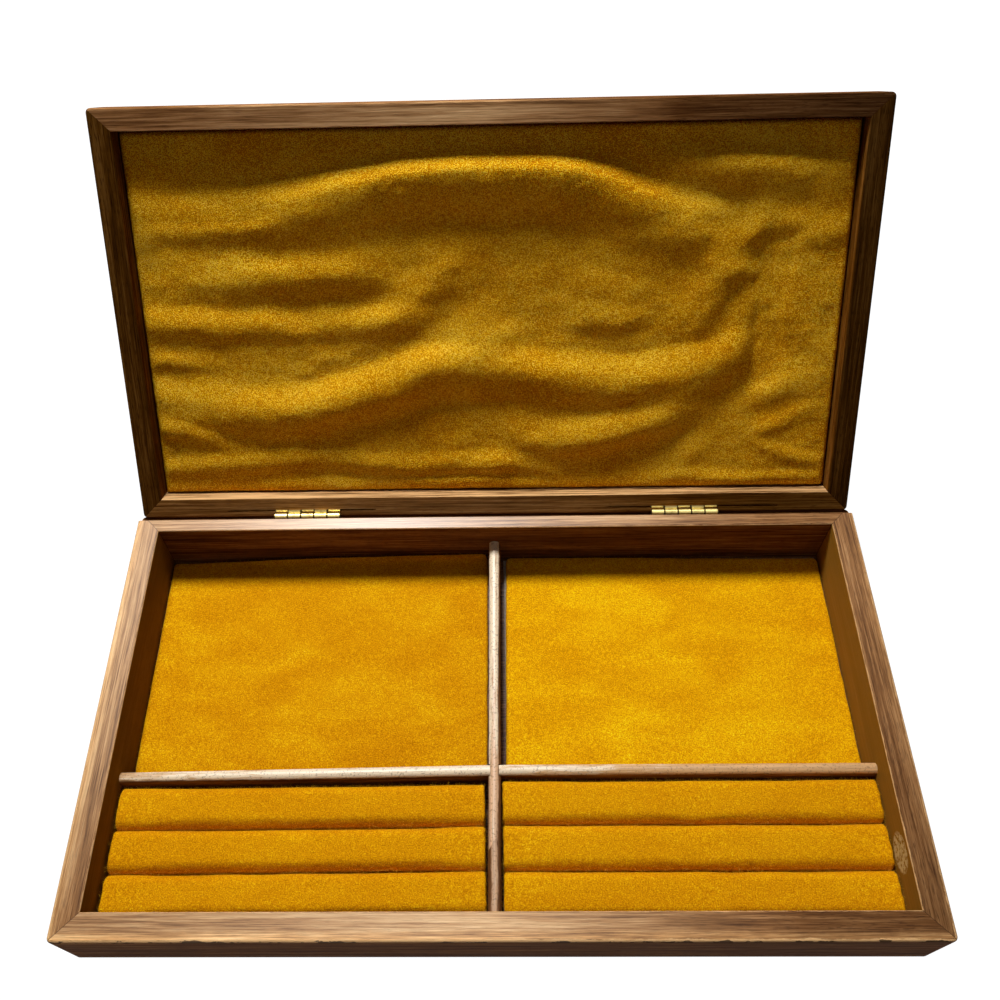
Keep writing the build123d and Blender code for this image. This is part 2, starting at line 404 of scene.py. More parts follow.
    def set(self, **values: object) -> Material:
        """Sets the surface's own sockets.

        Args:
            values: Sockets, numbers or colours by socket name, underscores standing for spaces.

        Returns:
            The finished material.
        """
        for name, value in values.items():
            socket = self.surface.inputs[name.replace("_", " ")]
            self.join((*value, 1) if isinstance(value, tuple) and len(value) == 3 else value, socket)
        return self.material


FIGURE_STOPS = (0.40, 0.50, 0.61)


class Grain(Enum):
    """Which way a board's grain runs."""

    WIDTH = "width"
    DEPTH = "depth"


@dataclass(frozen=True)
class Walnut:
    """Old polished walnut, with pores, streaks and rubbed edges that partly carry a painted highlight.

    The tone pairs give a place along the grain, from 0 at the left or front end to 1 at the
    other, and how light the timber is painted there: above one a painted highlight, below one painted shade.
    """

    name: str
    grain: Grain
    body: Body = Body.BASE
    painted_light_tones: tuple = ((0.0, 1.0), (1.0, 1.0))
    dark: tuple = (0.050, 0.017, 0.005)
    middle: tuple = (0.160, 0.064, 0.018)
    light: tuple = (0.330, 0.160, 0.058)
    # Pale colour of rubbed wood, also used for painted highlights on arrises and ledges.
    worn_and_lit: tuple = (0.86, 0.53, 0.24)
    rough: float = 0.7

    def shut_place(self, bench: Bench) -> Socket:
        """The place on the piece as if the lid were shut.

        Args:
            bench: The material under construction.

        Returns:
            The place's socket, turned back about the hinge axis on the lid.
        """
        if self.body is Body.BASE:
            return bench.place
        turned = bench.mapped((1, 1, 1), (-BOX.open_angle, 0, 0), (0, BOX.axis_y, BOX.axis_z))
        return bench.mapped((1, 1, 1), origin=(0, -BOX.axis_y, -BOX.axis_z), source=turned)

    def along(self, length: float, width: float) -> tuple:
        """A feature's size with its length along the grain.

        Args:
            length: Along the grain, in metres.
            width: Across it.

        Returns:
            The size along X, Y and Z.
        """
        if self.grain is Grain.WIDTH:
            return (length, width, width)
        return (width, length, width)

    def tone(self, bench: Bench, place: Socket) -> Socket:
        """How light the timber is painted at each place along the grain, as painted highlight or painted
        shade.

        Args:
            bench: The material under construction.
            place: The place with the lid shut.

        Returns:
            The lightness's socket.
        """
        x, y, _ = bench.split(place)
        reach, half = (x, BOX.half_width) if self.grain is Grain.WIDTH else (y, BOX.half_depth)
        share = bench.line(reach, 0.5 / half, 0.5)
        top = max(value for _, value in self.painted_light_tones)
        stops = [(at, (value / top,) * 3) for at, value in self.painted_light_tones]
        return bench.times(bench.grey(bench.ramp(share, *stops)), top)

    def timber(self, bench: Bench, place: Socket) -> tuple:
        """The figure of the timber.

        Args:
            bench: The material under construction.
            place: The place with the lid shut.

        Returns:
            The colour, the figure's lightness and the pores, as sockets.
        """
        broad = bench.noise(bench.mapped(self.along(0.21, 0.011), source=place), 3, 0.5, 0.6)
        streak = bench.noise(bench.mapped(self.along(0.050, 0.0011), source=place), 5, 0.64, 0.30)
        fibre = bench.noise(bench.mapped(self.along(0.014, 0.00036), source=place), 3, 0.6)
        pore = bench.noise(bench.mapped(self.along(0.0042, 0.00030), source=place), 1, 0.5)
        pores = bench.between(pore, 0.58, 0.68)
        figure = bench.line(broad, 0.30, bench.times(streak, 0.44))
        figure = bench.line(fibre, 0.26, figure)
        colour = bench.ramp(figure, *zip(FIGURE_STOPS, (self.dark, self.middle, self.light)))
        colour = bench.blend(bench.times(pores, 0.60), colour, self.dark)
        return colour, figure, pores


@dataclass(frozen=True)
class RailWood(Walnut):
    """Walnut rails, whose rims and outer edges are rubbed pale and painted with highlights.

    The shares say how much of each mark a rail shows, from 0 to 1: the rubbed band along its outer
    edge with a painted highlight on it, its arrises, partly rubbed and partly painted highlight, the
    painted reflection and light on its wall, the painted highlight of its lit ledge and the chips out of
    its edge. A tone above one paints a highlight that lightens and pales the rim, and past the limit it
    only pales it further; a tone below one paints shade.
    """

    # The band along the outer edge is partly rubbed wood and partly a painted highlight; its tint lifts the
    # colour there.
    band: float = 3.6 * MM
    band_wear_and_highlight_share: float = 0.9
    band_highlight_tint: tuple = (1.38, 1.34, 1.16)
    # Pale colours of the painted highlight on the rims.
    highlight_palette: tuple = ((0.19, 0.088, 0.034), (0.63, 0.348, 0.148), (0.96, 0.655, 0.345))
    tone_limit: float = 1.3
    # Pale arrises: partly rubbed wood and partly a painted highlight along the edges.
    edge_wear_and_highlight_share: float = 0.85
    inner_wear_and_highlight_share: float = 0.6
    # A painted highlight: the lit strip of the inner wall under the lining.
    ledge_highlight_share: float = 0.0
    # Painted reflection of the plush and painted light on the inner walls.
    wall: tuple = (0.200, 0.100, 0.007)
    wall_reflection_share: float = 0.0
    stain: tuple = ()
    old_glue: tuple = (0.60, 0.46, 0.19)
    chips: float = 0.0
    chipped: tuple = (0.045, 0.020, 0.008)
    # The outer faces are painted this many times lighter: painted light on the sides of the box.
    face: float = 2.1
    face_tint: tuple = (1.0, 1.0, 1.0)
    face_coat: float = 0.045
    coat: float = 0.6

    def stained(self, bench: Bench, place: Socket, colour: Socket) -> Socket:
        """Adds an oval of old glue, whose middle and half sizes stand in the stain.

        Args:
            bench: The material under construction.
            place: The place with the lid shut.
            colour: The timber's colour.

        Returns:
            The colour with the glue on it.
        """
        centre, half = self.stain
        oval = bench.tree.nodes.new("ShaderNodeVectorMath")
        oval.operation = "LENGTH"
        bench.join(bench.mapped(half, origin=centre, source=place), oval.inputs[0])
        crackle = bench.noise(bench.mapped((0.0016,) * 3, source=place), 3, 0.7)
        spread = bench.line(crackle, 0.5, oval.outputs["Value"])
        share = bench.times(bench.between(spread, 1.3, 1.15), bench.between(crackle, 0.36, 0.54))
        return bench.blend(share, colour, self.old_glue)

    def chipping(self, bench: Bench, place: Socket, outer: Socket, depth: Socket) -> Socket:
        """Where splinters are gone from the outer arris, down to 1.5 mm from the rim.

        Args:
            bench: The material under construction.
            place: The place with the lid shut.
            outer: Distance from the outer faces.
            depth: Distance from the rim.

        Returns:
            The chips' share.
        """
        bite = bench.noise(bench.mapped(self.along(0.011, 0.004), source=place), 4, 0.65)
        bitten = bench.between(bench.line(bite, -5.0 * MM, outer), -2.42 * MM, -2.6 * MM)
        bitten = bench.times(bitten, bench.between(depth, 1.5 * MM, 1.0 * MM))
        return bench.times(bitten, self.chips)

    def rubbing_and_highlight(self, bench: Bench, ragged: Socket, reach: tuple, on_rim: Socket) -> Socket:
        """Where the arrises are rubbed pale, partly wear and partly a painted highlight, unevenly along
        their length.

        Args:
            bench: The material under construction.
            ragged: Noise that makes the wear uneven.
            reach: Distances from the outer faces, the inner faces and the rim.
            on_rim: One on the rim and nought below it.

        Returns:
            The bare wood's share.
        """
        outer, inner, depth = reach
        worn_to = bench.line(ragged, 2.2 * MM, bench.maths("MAXIMUM", outer, depth))
        rub_and_highlight = bench.between(worn_to, 2.25 * MM, 1.75 * MM)
        rub_and_highlight = bench.times(rub_and_highlight, bench.between(depth, 0.75 * MM, 0.5 * MM))
        rub_and_highlight = bench.times(rub_and_highlight, self.edge_wear_and_highlight_share)
        inner_reach = bench.line(ragged, -1.2 * MM, inner)
        inner_rub_and_highlight = bench.times(bench.between(inner_reach, -0.25 * MM, -0.45 * MM), on_rim)
        return bench.maths("MAXIMUM", rub_and_highlight, bench.times(inner_rub_and_highlight, self.inner_wear_and_highlight_share), clamp=True)

    def lighting(self, bench: Bench, tone: Socket, on_rim: Socket, on_face: Socket) -> Socket:
        """How far the timber is painted lighter or darker: by its tone on the rim, as painted highlight or
        painted shade, and by one value on the outer face, as painted light.

        Args:
            bench: The material under construction.
            tone: How light the rim is along the grain.
            on_rim: One on the rim and nought below it.
            on_face: One on the outer face.

        Returns:
            A grey colour to multiply by.
        """
        lit = bench.less(bench.maths("MINIMUM", tone, self.tone_limit), 1.0)
        lit = bench.line(lit, on_rim, 1.0)
        faced = bench.maths("MAXIMUM", bench.line(on_face, self.face - 1.0, 1.0), on_rim)
        return bench.lightness(bench.times(lit, faced))

    def build(self) -> Material:
        """Makes the material.

        The distance from the outer faces and from the inner ones tells where a rim is rubbed and carries a
        painted highlight, and the line where the two distances meet is the mitre.

        Returns:
            The material.
        """
        bench = Bench(self.name)
        place = self.shut_place(bench)
        colour, figure, pores = self.timber(bench, place)
        x, y, z = bench.split(place)
        inset = BOX.lid_inset if self.body is Body.LID else 0.0
        from_side = bench.less(BOX.half_width - inset, bench.maths("ABSOLUTE", x))
        from_face = bench.less(BOX.half_depth - inset, bench.maths("ABSOLUTE", y))
        outer = bench.maths("MINIMUM", from_side, from_face)
        inner = bench.less(BOX.rail - inset, outer)
        rim_z = BOX.rim if self.body is Body.BASE else BOX.lid_rim
        depth = bench.maths("ABSOLUTE", bench.less(z, rim_z))
        on_rim = bench.between(depth, 0.9 * MM, 0.15 * MM)
        on_face = bench.between(outer, 0.3 * MM, 0.05 * MM)
        on_wall = bench.between(inner, 0.3 * MM, 0.05 * MM)
        # Painted highlight and painted shade: the rim's tone along the grain lightens or darkens it.
        tone = self.tone(bench, place)
        colour = bench.blend(1.0, colour, self.lighting(bench, tone, on_rim, on_face), "MULTIPLY")
        # On the lid rails this tint takes the painted-shade palette's hue back towards plain walnut on the
        # outer faces.
        colour = bench.blend(on_face, colour, self.face_tint, "MULTIPLY")
        # Painted highlight: the rim pales towards these colours where its tone is above one.
        pale = bench.ramp(figure, *zip(FIGURE_STOPS, self.highlight_palette))
        # The band along the outer edge, partly rubbed wood and partly a painted highlight.
        ragged = bench.noise(bench.mapped(self.along(0.007, 0.0035), source=place), 4, 0.7)
        glow = bench.between(bench.line(ragged, -2.4 * MM, outer), self.band, -0.8 * MM)
        glow = bench.times(bench.times(glow, on_rim), self.band_wear_and_highlight_share)
        painted_highlight = bench.times(bench.line(tone, 0.42, -0.42, clamp=True), on_rim)
        painted_highlight = bench.maths("ADD", painted_highlight, bench.times(glow, 0.6), clamp=True)
        colour = bench.blend(painted_highlight, colour, pale)
        colour = bench.blend(glow, colour, self.band_highlight_tint, "MULTIPLY")
        # Painted reflection and light on the inner wall.
        colour = bench.blend(bench.times(on_wall, self.wall_reflection_share), colour, self.wall)
        # Pale arrises: partly rubbed wood and partly a painted highlight.
        rub_and_highlight = self.rubbing_and_highlight(bench, ragged, (outer, inner, depth), on_rim)
        colour = bench.blend(rub_and_highlight, colour, self.worn_and_lit)
        if self.chips:
            colour = bench.blend(self.chipping(bench, place, outer, depth), colour, self.chipped)
        if self.stain:
            colour = self.stained(bench, place, colour)
        # Painted highlight on the lit ledge of the inner wall.
        if self.ledge_highlight_share:
            share = bench.times(bench.between(figure, 0.40, 0.56), self.ledge_highlight_share)
            colour = bench.blend(bench.times(share, on_wall), colour, self.worn_and_lit)
        mitre = bench.maths("ABSOLUTE", bench.less(from_side, from_face))
        joint = bench.between(mitre, 0.22 * MM, 0.06 * MM)
        colour = bench.blend(bench.times(joint, 0.7), colour, self.dark)
        height = bench.less(bench.times(figure, 0.5), bench.times(pores, 0.7))
        bench.relief(bench.less(height, bench.times(joint, 1.2)), 0.09 * MM)
        coat = bench.times(bench.times(tone, self.coat / 3.2), on_rim)
        return bench.set(
            Base_Color=colour,
            Roughness=self.rough,
            Coat_Weight=bench.maths("MAXIMUM", coat, bench.times(on_face, self.face_coat)),
            Coat_Roughness=0.32,
            Coat_IOR=1.5,
            Specular_IOR_Level=0.0,
        )


@dataclass(frozen=True)
class PanelWood(Walnut):
    """Walnut of a panel, plainer than the rails."""

    def build(self) -> Material:
        """Makes the material."""
        bench = Bench(self.name)
        colour, figure, pores = self.timber(bench, self.shut_place(bench))
        bench.relief(bench.less(bench.times(figure, 0.5), pores), 0.08 * MM)
        return bench.set(Base_Color=colour, Roughness=0.45, Specular_IOR_Level=0.2)


@dataclass(frozen=True)
class DividerWood(Walnut):
    """Thin walnut slats whose flat top is rubbed pale, smeared with old glue and painted with a highlight.

    The slat's middle line leans by a slope from the joint. The pale part of the top, partly rubbed
    wood and glue and partly a painted highlight, reaches across from its left or back edge as many
    millimetres as its pairs of place and reach say, and the side beyond it stays dark as painted shade.
    The glue's share, which follows the painted highlight, goes by such pairs too.
    """

    slope: float = 0.0
    joint_x: float = -0.4 * MM
    joint_y: float = -24.8 * MM
    half: float = 2.6 * MM
    reaches: tuple = ((0.0, 5.2), (1.0, 5.2))
    glue_and_highlight_shares: tuple = ((0.0, 0.5), (1.0, 0.5))
    bare_and_lit: tuple = (0.80, 0.50, 0.29)
    glue: tuple = (0.92, 0.76, 0.54)
    top: float = 19.6 * MM

    def build(self) -> Material:
        """Makes the material: pale above, where the height nears the top edge, partly as a painted
        highlight, and dark below.
        """
        bench = Bench(self.name)
        colour, figure, pores = self.timber(bench, bench.place)
        x, y, z = bench.split(bench.place)
        ragged = bench.noise(bench.mapped(self.along(0.006, 0.0012)), 4, 0.7)
        fine = bench.noise(bench.mapped((0.0009,) * 3), 2, 0.6)
        edge = bench.line(ragged, 1.0 * MM, z)
        # Pale top: partly rubbed wood and partly a painted highlight.
        bare_and_lit = bench.between(edge, self.top - 1.3 * MM, self.top - 0.5 * MM)
        if self.grain is Grain.DEPTH:
            middle = bench.line(bench.less(y, self.joint_y), self.slope, self.joint_x)
            aside = bench.less(x, middle)
        else:
            middle = bench.line(bench.maths("MINIMUM", x, 0.0), self.slope, self.joint_y)
            aside = bench.less(middle, y)
        # The pale top stops short of the far side, which is left dark as painted shade.
        reach = replace(self, painted_light_tones=self.reaches).tone(bench, bench.place)
        aside = bench.line(ragged, -0.8 * MM, aside)
        aside = bench.less(aside, bench.line(reach, MM, -self.half))
        bare_and_lit = bench.times(bare_and_lit, bench.between(aside, 0.0, -0.6 * MM))
        # Painted highlight along the crest of the rounded top.
        crest_highlight = bench.times(bench.between(edge, self.top + 0.05 * MM, self.top + 0.4 * MM), 0.7)
        bare_and_lit = bench.maths("MAXIMUM", bare_and_lit, crest_highlight)
        deeper = tuple(0.66 * part for part in self.bare_and_lit)
        pale = bench.blend(bench.between(figure, 0.40, 0.60), deeper, self.bare_and_lit)
        # Glue smear, its share along the slat following the painted highlight.
        share = replace(self, painted_light_tones=self.glue_and_highlight_shares).tone(bench, bench.place)
        smear = bench.noise(bench.mapped(self.along(0.018, 0.0016)), 4, 0.65, 0.4)
        smear = bench.maths("ADD", smear, bench.line(share, 0.6, -0.3))
        pale = bench.blend(bench.between(smear, 0.42, 0.60), pale, self.glue)
        speck = bench.times(bench.between(fine, 0.56, 0.66), 0.45)
        pale = bench.blend(speck, pale, self.middle)
        colour = bench.blend(bare_and_lit, colour, pale)
        height = bench.line(fine, 0.6, bench.less(figure, pores))
        bench.relief(height, 0.06 * MM)
        near_top = bench.between(z, self.top - 1.2 * MM, self.top - 0.3 * MM)
        return bench.set(
            Base_Color=colour,
            Roughness=0.6,
            Coat_Weight=bench.times(near_top, 0.5),
            Coat_Roughness=0.4,
            Coat_IOR=1.5,
            Specular_IOR_Level=0.0,
        )


@dataclass(frozen=True)
class Plush:
    """Short-pile mustard plush: pale fibre ends, partly painted glints, over a deeper ground, soft sheen and
    a fine nap.
    """

    name: str
    red: float = 0.70
    green: float = 0.295
    blue: float = 0.0028
    speckle: float = 1.0
    nap: float = 0.50 * MM
    lift: float = 0.30 * MM
    cloud: float = 0.12
    # Pale flecks: fibre ends, partly painted glints of light on the pile.
    fleck: tuple = (0.98, 0.78, 0.30)

    def shade(self, red: float, green: float) -> tuple:
        """The plush's colour with its red and green multiplied, short of full."""
        return (min(self.red * red, 0.98), min(self.green * green, 0.9), self.blue * green)

    def build(self) -> Material:
        """Makes the material: three scales of noise lighten and darken the pile and raise it."""
        bench = Bench(self.name)
        tuft = bench.noise(bench.mapped((self.nap,) * 3), 2, 0.6)
        clump = bench.noise(bench.mapped((self.nap * 3.4,) * 3), 3, 0.6)
        cloud = bench.noise(bench.mapped((0.034, 0.018, 0.034)), 2, 0.5, 0.6)
        tone = bench.line(tuft, 0.70, bench.times(clump, 0.18))
        tone = bench.maths("ADD", tone, 0.06)
        tone = bench.line(bench.less(cloud, 0.5), self.cloud, tone)
        tone = bench.line(bench.less(tone, 0.5), self.speckle, 0.5)
        colour = bench.ramp(
            tone,
            (0.34, self.shade(0.66, 0.54)),
            (0.48, self.shade(0.95, 0.90)),
            (0.59, self.shade(1.16, 1.42)),
            (0.68, self.shade(1.34, 2.2)),
            (0.80, self.fleck),
        )
        bench.relief(bench.line(tuft, 0.8, bench.times(clump, 0.2)), self.lift)
        return bench.set(
            Base_Color=colour,
            Roughness=0.95,
            Specular_IOR_Level=0.0,
            Sheen_Weight=0.2,
            Sheen_Roughness=0.5,
            Sheen_Tint=(0.9, 0.42, 0.004),
        )


@dataclass(frozen=True)
class Brass:
    """Pale, slightly tarnished brass."""

    name: str
    centre: float
    knuckle: float = 6.0 * MM
    colour: tuple = (0.56, 0.45, 0.17)
    tarnish: tuple = (0.24, 0.17, 0.055)
    grime: tuple = (0.05, 0.03, 0.01)

    def build(self) -> Material:
        """Makes the material: tarnish dulls it, scratches cross it and grime fills the joints."""
        bench = Bench(self.name)
        blotch = bench.noise(bench.mapped((0.0032,) * 3), 4, 0.65)
        scratch = bench.noise(bench.mapped((0.004, 0.0002, 0.0002)), 2, 0.6)
        share = bench.times(bench.between(blotch, 0.45, 0.68), 0.7)
        across = bench.split(bench.place)[0]
        count = bench.line(across, 1 / self.knuckle, 0.5 - self.centre / self.knuckle)
        joint = bench.between(bench.maths("PINGPONG", count, 0.5), 0.085, 0.035)
        bench.relief(bench.line(scratch, 0.5, blotch), 0.03 * MM)
        colour = bench.blend(share, self.colour, self.tarnish)
        return bench.set(
            Base_Color=bench.blend(joint, colour, self.grime),
            Metallic=1.0,
            Roughness=bench.line(blotch, 0.30, 0.26),
        )


@dataclass(frozen=True)
class Fibreboard:
    """Grey card or pale foam: a fine fleck over one colour."""

    name: str
    colour: tuple
    fleck: tuple
    grain: float = 0.9 * MM

    def build(self) -> Material:
        """Makes the material."""
        bench = Bench(self.name)
        fleck = bench.noise(bench.mapped((self.grain, self.grain, self.grain * 0.4)), 4, 0.7)
        bench.relief(fleck, 0.08 * MM)
        return bench.set(
            Base_Color=bench.blend(bench.between(fleck, 0.42, 0.66), self.colour, self.fleck),
            Roughness=0.9,
            Specular_IOR_Level=0.2,
        )


# ---- Soft furnishing -------------------------------------------------------------------------

JOINED = 0.02 * MM
COARSE = 3.0 * MM


@dataclass(frozen=True)
class ClothRun:
    """How a coarse copy of a soft piece is let settle before its movement is handed on.

    The growth says by what share the cloth is cut too large, and the cap how far a point may move.
    """

    frames: int = 16
    pressure: float = 0.0
    growth: float = 0.0
    tension: float = 8.0
    bending: float = 0.6
    mass: float = 0.3
    cap: float = 0.6 * MM

    def settle(self, points: Points, faces: Faces, held: Points) -> Points:
        """Runs the cloth solver on a copy of the piece, its coincident points made one.

        Args:
            points: N by 3 places at the start.
            faces: M by 4 point numbers.
            held: True for each point that may not move.

        Returns:
            How far each point moved, no further than the cap.
        """
        if not self.frames:
            return np.zeros_like(points)
        cells = np.round(points / JOINED)
        _, first, owner = np.unique(cells, axis=0, return_index=True, return_inverse=True)
        owner = owner.ravel()
        rings = [list(dict.fromkeys(ring)) for ring in owner[faces].tolist()]
        held = np.bincount(owner, held) > 0
        mesh = bpy.data.meshes.new("settling")
        mesh.from_pydata(points[first].tolist(), [], [ring for ring in rings if len(ring) > 2])
        worker = bpy.data.objects.new("settling", mesh)
        scene = bpy.context.scene
        scene.collection.objects.link(worker)
        pins = worker.vertex_groups.new(name="held")
        pins.add(np.flatnonzero(held).tolist(), 1.0, "REPLACE")
        cloth = worker.modifiers.new("cloth", "CLOTH")
        settings = cloth.settings
        settings.quality = 6
        settings.mass = self.mass
        settings.tension_stiffness = self.tension
        settings.compression_stiffness = self.tension
        settings.bending_stiffness = self.bending
        settings.vertex_group_mass = pins.name
        settings.use_pressure = self.pressure > 0
        settings.uniform_pressure_force = self.pressure
        settings.shrink_min = -self.growth
        settings.effector_weights.gravity = 0
        cloth.collision_settings.use_collision = False
        cloth.point_cache.frame_start = 1
        cloth.point_cache.frame_end = self.frames
        for step in range(1, self.frames + 1):
            scene.frame_set(step)
        settled = worker.evaluated_get(bpy.context.evaluated_depsgraph_get()).data
        after = np.zeros(len(first) * 3)
        settled.vertices.foreach_get("co", after)
        moved = (after.reshape(-1, 3) - points[first])[owner]
        far = np.linalg.norm(moved, axis=1, keepdims=True)
        moved *= np.minimum(1.0, self.cap / np.maximum(far, 1e-9))
        bpy.data.objects.remove(worker)
        bpy.data.meshes.remove(mesh)
        scene.frame_set(1)
        return np.nan_to_num(moved)


def relaxed(values: Points, rounds: int = 2) -> Points:
    """Averages a grid of vectors with its neighbours, border kept, so thick plush hides sharp creases.

    Args:
        values: R by C by 3 numbers.
        rounds: How many times the average is taken.

    Returns:
        The smoothed grid.
    """
    values = values.copy()
    for _ in range(rounds):
        inner = values[:-2, 1:-1] + values[2:, 1:-1] + values[1:-1, :-2] + values[1:-1, 2:]
        values[1:-1, 1:-1] = (inner + 2 * values[1:-1, 1:-1]) / 6
    return values


def upsampled(values: Points, rows: int, columns: int) -> Points:
    """Carries a coarse grid of vectors to a finer one, linearly between its points.

    Args:
        values: R by C by 3 numbers on the coarse grid.
        rows: Rows of the fine grid.
        columns: Columns of the fine grid.

    Returns:
        The fine grid, rows by columns by 3.
    """
    across = np.linspace(0, values.shape[0] - 1, rows)
    i = np.minimum(across.astype(int), values.shape[0] - 2)
    t = smooth_step(across - i)[:, None, None]
    values = values[i] * (1 - t) + values[i + 1] * t
    across = np.linspace(0, values.shape[1] - 1, columns)
    j = np.minimum(across.astype(int), values.shape[1] - 2)
    t = smooth_step(across - j)[None, :, None]
    return values[:, j] * (1 - t) + values[:, j + 1] * t


@dataclass(frozen=True)
class Bolster:
    """A soft closed-topped form: rings of a rounded rectangle that rise from its foot.

    A ring lies an inset d inside the foot's outline. Its height is the foot's plus the shoulder, a
    quarter of a superellipse that is full at the inset called shoulder, plus a crown that swells as
    one less the square of the distance from the middle.
    """

    centre: tuple
    half: tuple
    foot: float
    height: float
    shoulder: float
    crown: float = 0.0
    fullness: float = 2.2
    corner: float = 2.0 * MM
    pitch: float = 1.1 * MM
    wander: float = 0.25 * MM
    relief: float = 0.12 * MM
    slant: float = 0.0
    lean: float = 0.0
    curl: tuple = ((-1.0, 0.0), (1.0, 0.0))
    seed: int = 1

    def insets(self) -> Points:
        """How far each ring lies inside the outline, close together on the shoulder."""
        reach = min(self.half)
        turn = np.linspace(0, math.pi / 2, 11)
        edge = self.shoulder * (1 - np.cos(turn))
        rest = np.linspace(self.shoulder, reach, max(3, round((reach - self.shoulder) / self.pitch) + 1))
        return np.concatenate([np.zeros(2), edge[1:], rest[1:]])

    def rises(self, insets: Points) -> Points:
        """The height of each ring over the foot, without the crown.

        Args:
            insets: How far each ring lies inside the outline.

        Returns:
            One height for each ring.
        """
        share = 1 - np.clip(insets / self.shoulder, 0, 1)
        rise = (1 - share**self.fullness) ** (1 / self.fullness)
        wall = self.height - self.shoulder
        heights = wall + self.shoulder * rise
        heights[0] = 0.0
        return np.where(np.arange(len(insets)) == 1, wall, heights)

    def surface(self, pitch: float) -> tuple:
        """The form as rings of points.

        Args:
            pitch: Distance between points along a ring.

        Returns:
            The points, ring by ring, and how many points a ring has.
        """
        hx, hy = self.half
        insets = self.insets()
        rises = self.rises(insets)
        side_x, side_y = max(4, round(2 * hx / pitch)), max(4, round(2 * hy / pitch))
        over_x, over_y = (np.linspace(-1, 1, count, endpoint=False) for count in (side_x, side_y))
        t = np.concatenate([over_x, np.ones(side_y), -over_x, -np.ones(side_y)])
        s = np.concatenate([-np.ones(side_x), over_y, np.ones(side_x), -over_y])
        x = t[None, :] * (hx - insets)[:, None]
        y = s[None, :] * (hy - insets)[:, None]
        radius = np.maximum(self.corner - insets, 0.0) + np.minimum(insets, self.shoulder) * 0.5
        radius = np.minimum(radius, np.minimum(hx - insets, hy - insets))[:, None]
        over_x = np.maximum(np.abs(x) - (hx - insets[:, None] - radius), 0)
        over_y = np.maximum(np.abs(y) - (hy - insets[:, None] - radius), 0)
        reach = np.maximum(np.hypot(over_x, over_y), 1e-9)
        pull = np.where((over_x > 0) & (over_y > 0), np.maximum(over_x, over_y) / reach, 1.0)
        x = np.sign(x) * (np.abs(x) - over_x * (1 - pull))
        y = np.sign(y) * (np.abs(y) - over_y * (1 - pull))
        swell = self.crown * (1 - (x / hx) ** 2) * (1 - (y / hy) ** 2)
        z = rises[:, None] + swell * (rises / self.height)[:, None]
        points = np.stack([x + self.centre[0], y + self.centre[1], z + self.foot], -1)
        return points, points.shape[1]

    def roughened(self, points: Points) -> Points:
        """Lets the edges wander and lifts the pile in small tufts.

        Args:
            points: Rings by points by 3 places.

        Returns:
            The same grid, each point moved along a slow and a quick noise.
        """
        x, y, z = (points[..., k] for k in range(3))
        inset = self.insets()[:, None]
        near_edge = np.exp(-inset / (1.5 * self.shoulder))
        slow = soft_noise(x, y, 11 * MM, self.seed) * self.wander * near_edge
        out_x = (x - self.centre[0]) / self.half[0]
        out_y = (y - self.centre[1]) / self.half[1]
        along = np.abs(out_x) > np.abs(out_y)
        inward = -np.abs(slow)
        moved = points.copy()
        moved[..., 0] += np.where(along, np.sign(out_x) * inward, 0)
        moved[..., 1] += np.where(along, 0, np.sign(out_y) * inward)
        outer_share = smooth_step((np.abs(x) - 0.03) / 0.12)
        moved[..., 1] -= self.slant * outer_share * smooth_step(out_y * 2 - 1)
        inner_wear_and_highlight_share = smooth_step(1 - (np.abs(x) - 3 * MM) / (40 * MM))
        moved[..., 0] += self.lean * (y - self.centre[1] + self.half[1]) * inner_wear_and_highlight_share
        places, rises = zip(*self.curl)
        upturn = np.interp(x, places, rises) * smooth_step(1 - (1 - out_y) * self.half[1] / (2.6 * MM))
        moved[..., 2] += upturn * smooth_step((z - self.foot) / self.height)
        tufts = 0.6 * soft_noise(x + 0.31 * z, y + 0.57 * z, 1.7 * MM, self.seed + 1)
        tufts += 0.4 * soft_noise(x, y, 4.5 * MM, self.seed + 2)
        up = smooth_step((z - self.foot) / self.height * 1.5)
        moved[..., 2] += tufts * self.relief * up
        return moved

    def make(self, name: str, cover: Material, slot: str, skin: float, run: ClothRun) -> Item:
        """Builds the form, lets it settle and gives its cover thickness, or closes it underneath.

        Args:
            name: The piece's name.
            cover: The finish it wears.
            slot: The record's material slot; not used.
            skin: Thickness of the plush, nought for a solid form.
            run: How the cloth settles.

        Returns:
            The finished piece.
        """
        coarse, wide = self.surface(COARSE)
        rings = len(coarse)
        held = np.zeros(coarse.shape[:2], bool)
        held[:2] = True
        held[-1] = True
        faces = grid_faces(rings, wide, closed=True)
        moved = run.settle(coarse.reshape(-1, 3), faces, held.ravel()).reshape(rings, wide, 3)
        fine, count = self.surface(self.pitch)
        wrapped = np.concatenate([moved, moved[:, :1]], axis=1)
        fine = self.roughened(fine) + upsampled(wrapped, rings, count + 1)[:, :-1]
        fine[-1] = fine[-1] * np.array([1.0, 0.0, 1.0]) + np.array([0.0, self.centre[1], 0.0])
        if not skin:
            half_way = fine[:1] * 0.5 + np.array([*self.centre, self.foot]) * 0.5
            middle = fine[-1:] * np.array([1, 1, 0]) + np.array([0, 0, self.foot])
            fine = np.concatenate([middle, half_way, fine], axis=0)
        made = piece(name, fine.reshape(-1, 3), grid_faces(len(fine), count, closed=True), cover)
        weld(made)
        if skin:
            thicken(made, skin)
        return made


def weld(made: Item) -> None:
    """Merges points that fall together and drops faces with no width.

    Args:
        made: The piece to close.
    """
    work = bmesh.new()
    work.from_mesh(made.data)
    bmesh.ops.remove_doubles(work, verts=work.verts, dist=JOINED)
    bmesh.ops.dissolve_degenerate(work, edges=work.edges, dist=0.01 * MM)
    bmesh.ops.recalc_face_normals(work, faces=work.faces)
    top = max(work.faces, key=lambda f: f.calc_center_median().z)
    if top.normal.z < 0:
        bmesh.ops.reverse_faces(work, faces=work.faces)
    work.to_mesh(made.data)
    work.free()
    made.data.polygons.foreach_set("use_smooth", np.ones(len(made.data.polygons), bool))


